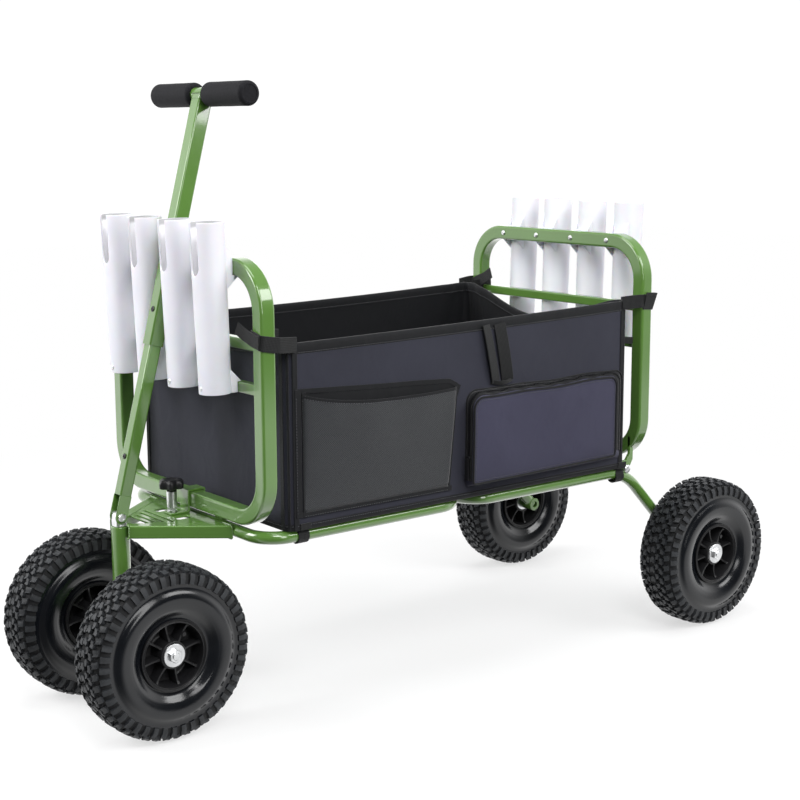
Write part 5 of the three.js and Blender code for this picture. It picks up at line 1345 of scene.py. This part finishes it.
cube = np.array([(x, y, z) for z in (-1, 1) for x, y in ((-1, -1), (1, -1), (1, 1), (-1, 1))])
cube_faces = np.array([[1, 2, 3, 0], [7, 6, 5, 4], [4, 5, 1, 0], [5, 6, 2, 1], [6, 7, 3, 2], [7, 4, 0, 3]])
swing = np.where(np.arange(len(teeth_at)) % 2, 0.7, -0.7)[:, None]
tooth_centre = tooth_centre + swing * out_y + tooth_up * 0.7
cube = cube * [0.5, 1.7, 0.6]
corners = (tooth_centre[:, None] + cube[:, :1] * tooth_way[:, None] + cube[:, 1:2] * out_y
           + cube[:, 2:] * tooth_up[:, None])
count = len(teeth_at)
teeth = (corners.reshape(-1, 3) * mm, (cube_faces.ravel()[None] + 8 * np.arange(count)[:, None]).ravel(),
         np.full(6 * count, 4), np.zeros((24 * count, 2)))
piece("zip_teeth", "chassis", teeth, black_plastic, crease=30)

puller_top = on_side(18.5, 372, 12)
slider = prism(squared(9, 2, 6.5, 3), -1.6, 1.6, "x", puller_top + [1.4, 0, 0])
tab_outline = [(np.cos(a) * 3.0, np.sin(a) * 3.0) for a in np.linspace(0, np.pi, 9)]
tab_outline += [(-4.0, -30.0), (-3.2, -33.0), (3.2, -33.0), (4.0, -30.0)]
tab = prism(tab_outline, 3.0, 4.6, "x", puller_top + [0.4, 1.0, -3])
eased(piece("zip_puller", "chassis", [slider, tab], black_plastic), 0.4)

# Pocket stitches
# The same thread loops as on the basket's tapes: down both upright tapes of the net, along its hem and
# its bottom seam, and round the stiff front panel of the pouch.
sewn = [stitches(on_side(x, np.linspace(326, 506, 40), out), out_y)
        for x, out in ((net_left + 10.5, 2.6), (net_left - 4.5, 3.2))]
sewn += [stitches(hem_line + [0, 1.0, -4.4], out_y),
         stitches(on_side(np.linspace(net_left, net_right + 12, 60), 323.6, 3.0), out_y),
         stitches(closed_ring(pouch_ring(-5.0, 1, 1.0)), out_y)]
piece("pocket_stitches", "chassis", sewn, thread_fibre, crease=80)

# Straps
# Black webbing. A strap at each corner of the rim is passed round the end frame's post and tucked
# back, and a short one at each lower corner goes round the bed's rail. A slanting compression strap
# hangs folded on the middle of the near side.
post_half = 12.5


def round_post(side_x, side_y, gap=1.6):
    """The way round a post seen from above: from the basket's corner round the square tube and back."""
    reach = post_half + gap
    corners = [(half_x - 16, half_y + 2.2), (frame_x - reach - 3, post_y + reach),
               (frame_x + reach, post_y + reach), (frame_x + reach, post_y - reach),
               (frame_x - reach - 1, post_y - reach), (half_x + 1.5, half_y - 18)]
    return bent([(side_x * x, side_y * y, 0) for x, y in corners], [0, 9, 4.5, 4.5, 4.5, 0], steps=7)[0]


strap_levels = {1: ([0, 0.25, 0.46, 0.66, 1], [582, 585, 590, 596, 593]),
                -1: ([0, 0.25, 0.46, 0.66, 1], [593, 595, 594, 592, 590])}
tails = {("front", "left"): [(409, 224, 590.5), (409.2, 205, 594), (411, 190, 600), (415, 175, 609)],
         ("front", "right"): [(409, -224, 590.5), (409.2, -204, 592), (412, -192, 590), (418, -180, 583)],
         ("rear", "left"): [(-382, 228.6, 595), (-391, 228.8, 594.5), (-399, 229, 594), (-406, 229, 593)],
         ("rear", "right"): [(-376.5, -222, 591), (-375.5, -205, 598), (-374, -182, 606), (-372, -161, 617)]}
for end, side_x in (("front", 1), ("rear", -1)):
    for flank, side_y in (("left", 1), ("right", -1)):
        line = spaced(round_post(side_x, side_y), 2.0)
        share = np.linspace(0, 1, len(line))
        line[:, 2] = through(np.stack(strap_levels[side_x], axis=1) * [100, 1], share * 100)[:, 1]
        tilt = np.stack([0.10 * side_x * np.cos(3 * share), 0 * share, np.ones_like(share)], axis=1)
        bands = [ribbon(line, tilt, 23, 2.0)]
        tail = spaced(bent(tails[end, flank], [0, 14, 14, 0], steps=6)[0], 2.0)
        tail_width = 31 if (end, flank) == ("rear", "left") else 21
        bands.append(ribbon(tail, [0.1 * side_x, 0.25 * side_y, 1], tail_width, 1.8))
        piece(f"corner_strap_{end}_{flank}", "chassis", bands, webbing, stands_for=[f"strap_{end}_{flank}"])
tie_line = [(-355, 205.5, 527), (-362, 207, 526), (-371, 206, 525), (-379, 204, 524)]
piece("corner_tie", "chassis", ribbon(tie_line, up_z, 12, 1.8), webbing)

loops = []
strap_radius, front_strap_x, rear_strap_x = bed_tube + 1.6, 327, -347
angle = np.radians(np.linspace(-200, 70, 34))
over_rail = strap_radius * np.stack([0 * angle, np.cos(angle), np.sin(angle)], axis=1)
for x, side_y in ((front_strap_x, 1), (rear_strap_x, 1), (front_strap_x, -1), (rear_strap_x, -1)):
    drop = 5 if x < 0 else 0
    band = over_rail * [1, side_y, 1] + [x, side_y * rail_y, bed_z - drop]
    line = np.concatenate([[[x, side_y * (rail_y - 13), 301 - drop]], band,
                           [[x, side_y * (half_y + 1.2), 303.0], [x, side_y * (half_y + 2.6), 313.0]]])
    loops.append(ribbon(spaced(line, 2.0), along_x, 20, 1.8))
piece("rail_straps", "chassis", loops, webbing)

share = np.linspace(0, 1, 40)
for number, (top_x, low_x, wide, lift) in enumerate(((-27, -46, 20, 3.0), (-55, -71, 22, 3.6))):
    x = top_x + (low_x - top_x) * share + 1.5 * np.sin(np.pi * share)
    line = on_side(x, 581 - 93 * share, lift + 3.4 * np.sin(np.pi * share) ** 0.7)
    across = np.array([0.95, 0.22 - 0.4 * number, 0.16])
    piece(f"side_strap_{number + 1}", "chassis", ribbon(line, across, wide, 1.8), webbing)
fold_x = np.linspace(-37, -81, 24)
fold_bow = np.sin(np.linspace(0, np.pi, 24))
fold_line = on_side(fold_x, 488.5 - 3.5 * fold_bow, 3.4 + 2.5 * fold_bow)
piece("side_strap_fold", "chassis", ribbon(fold_line, [0, 0.5, 1], 8, 2.0), webbing)
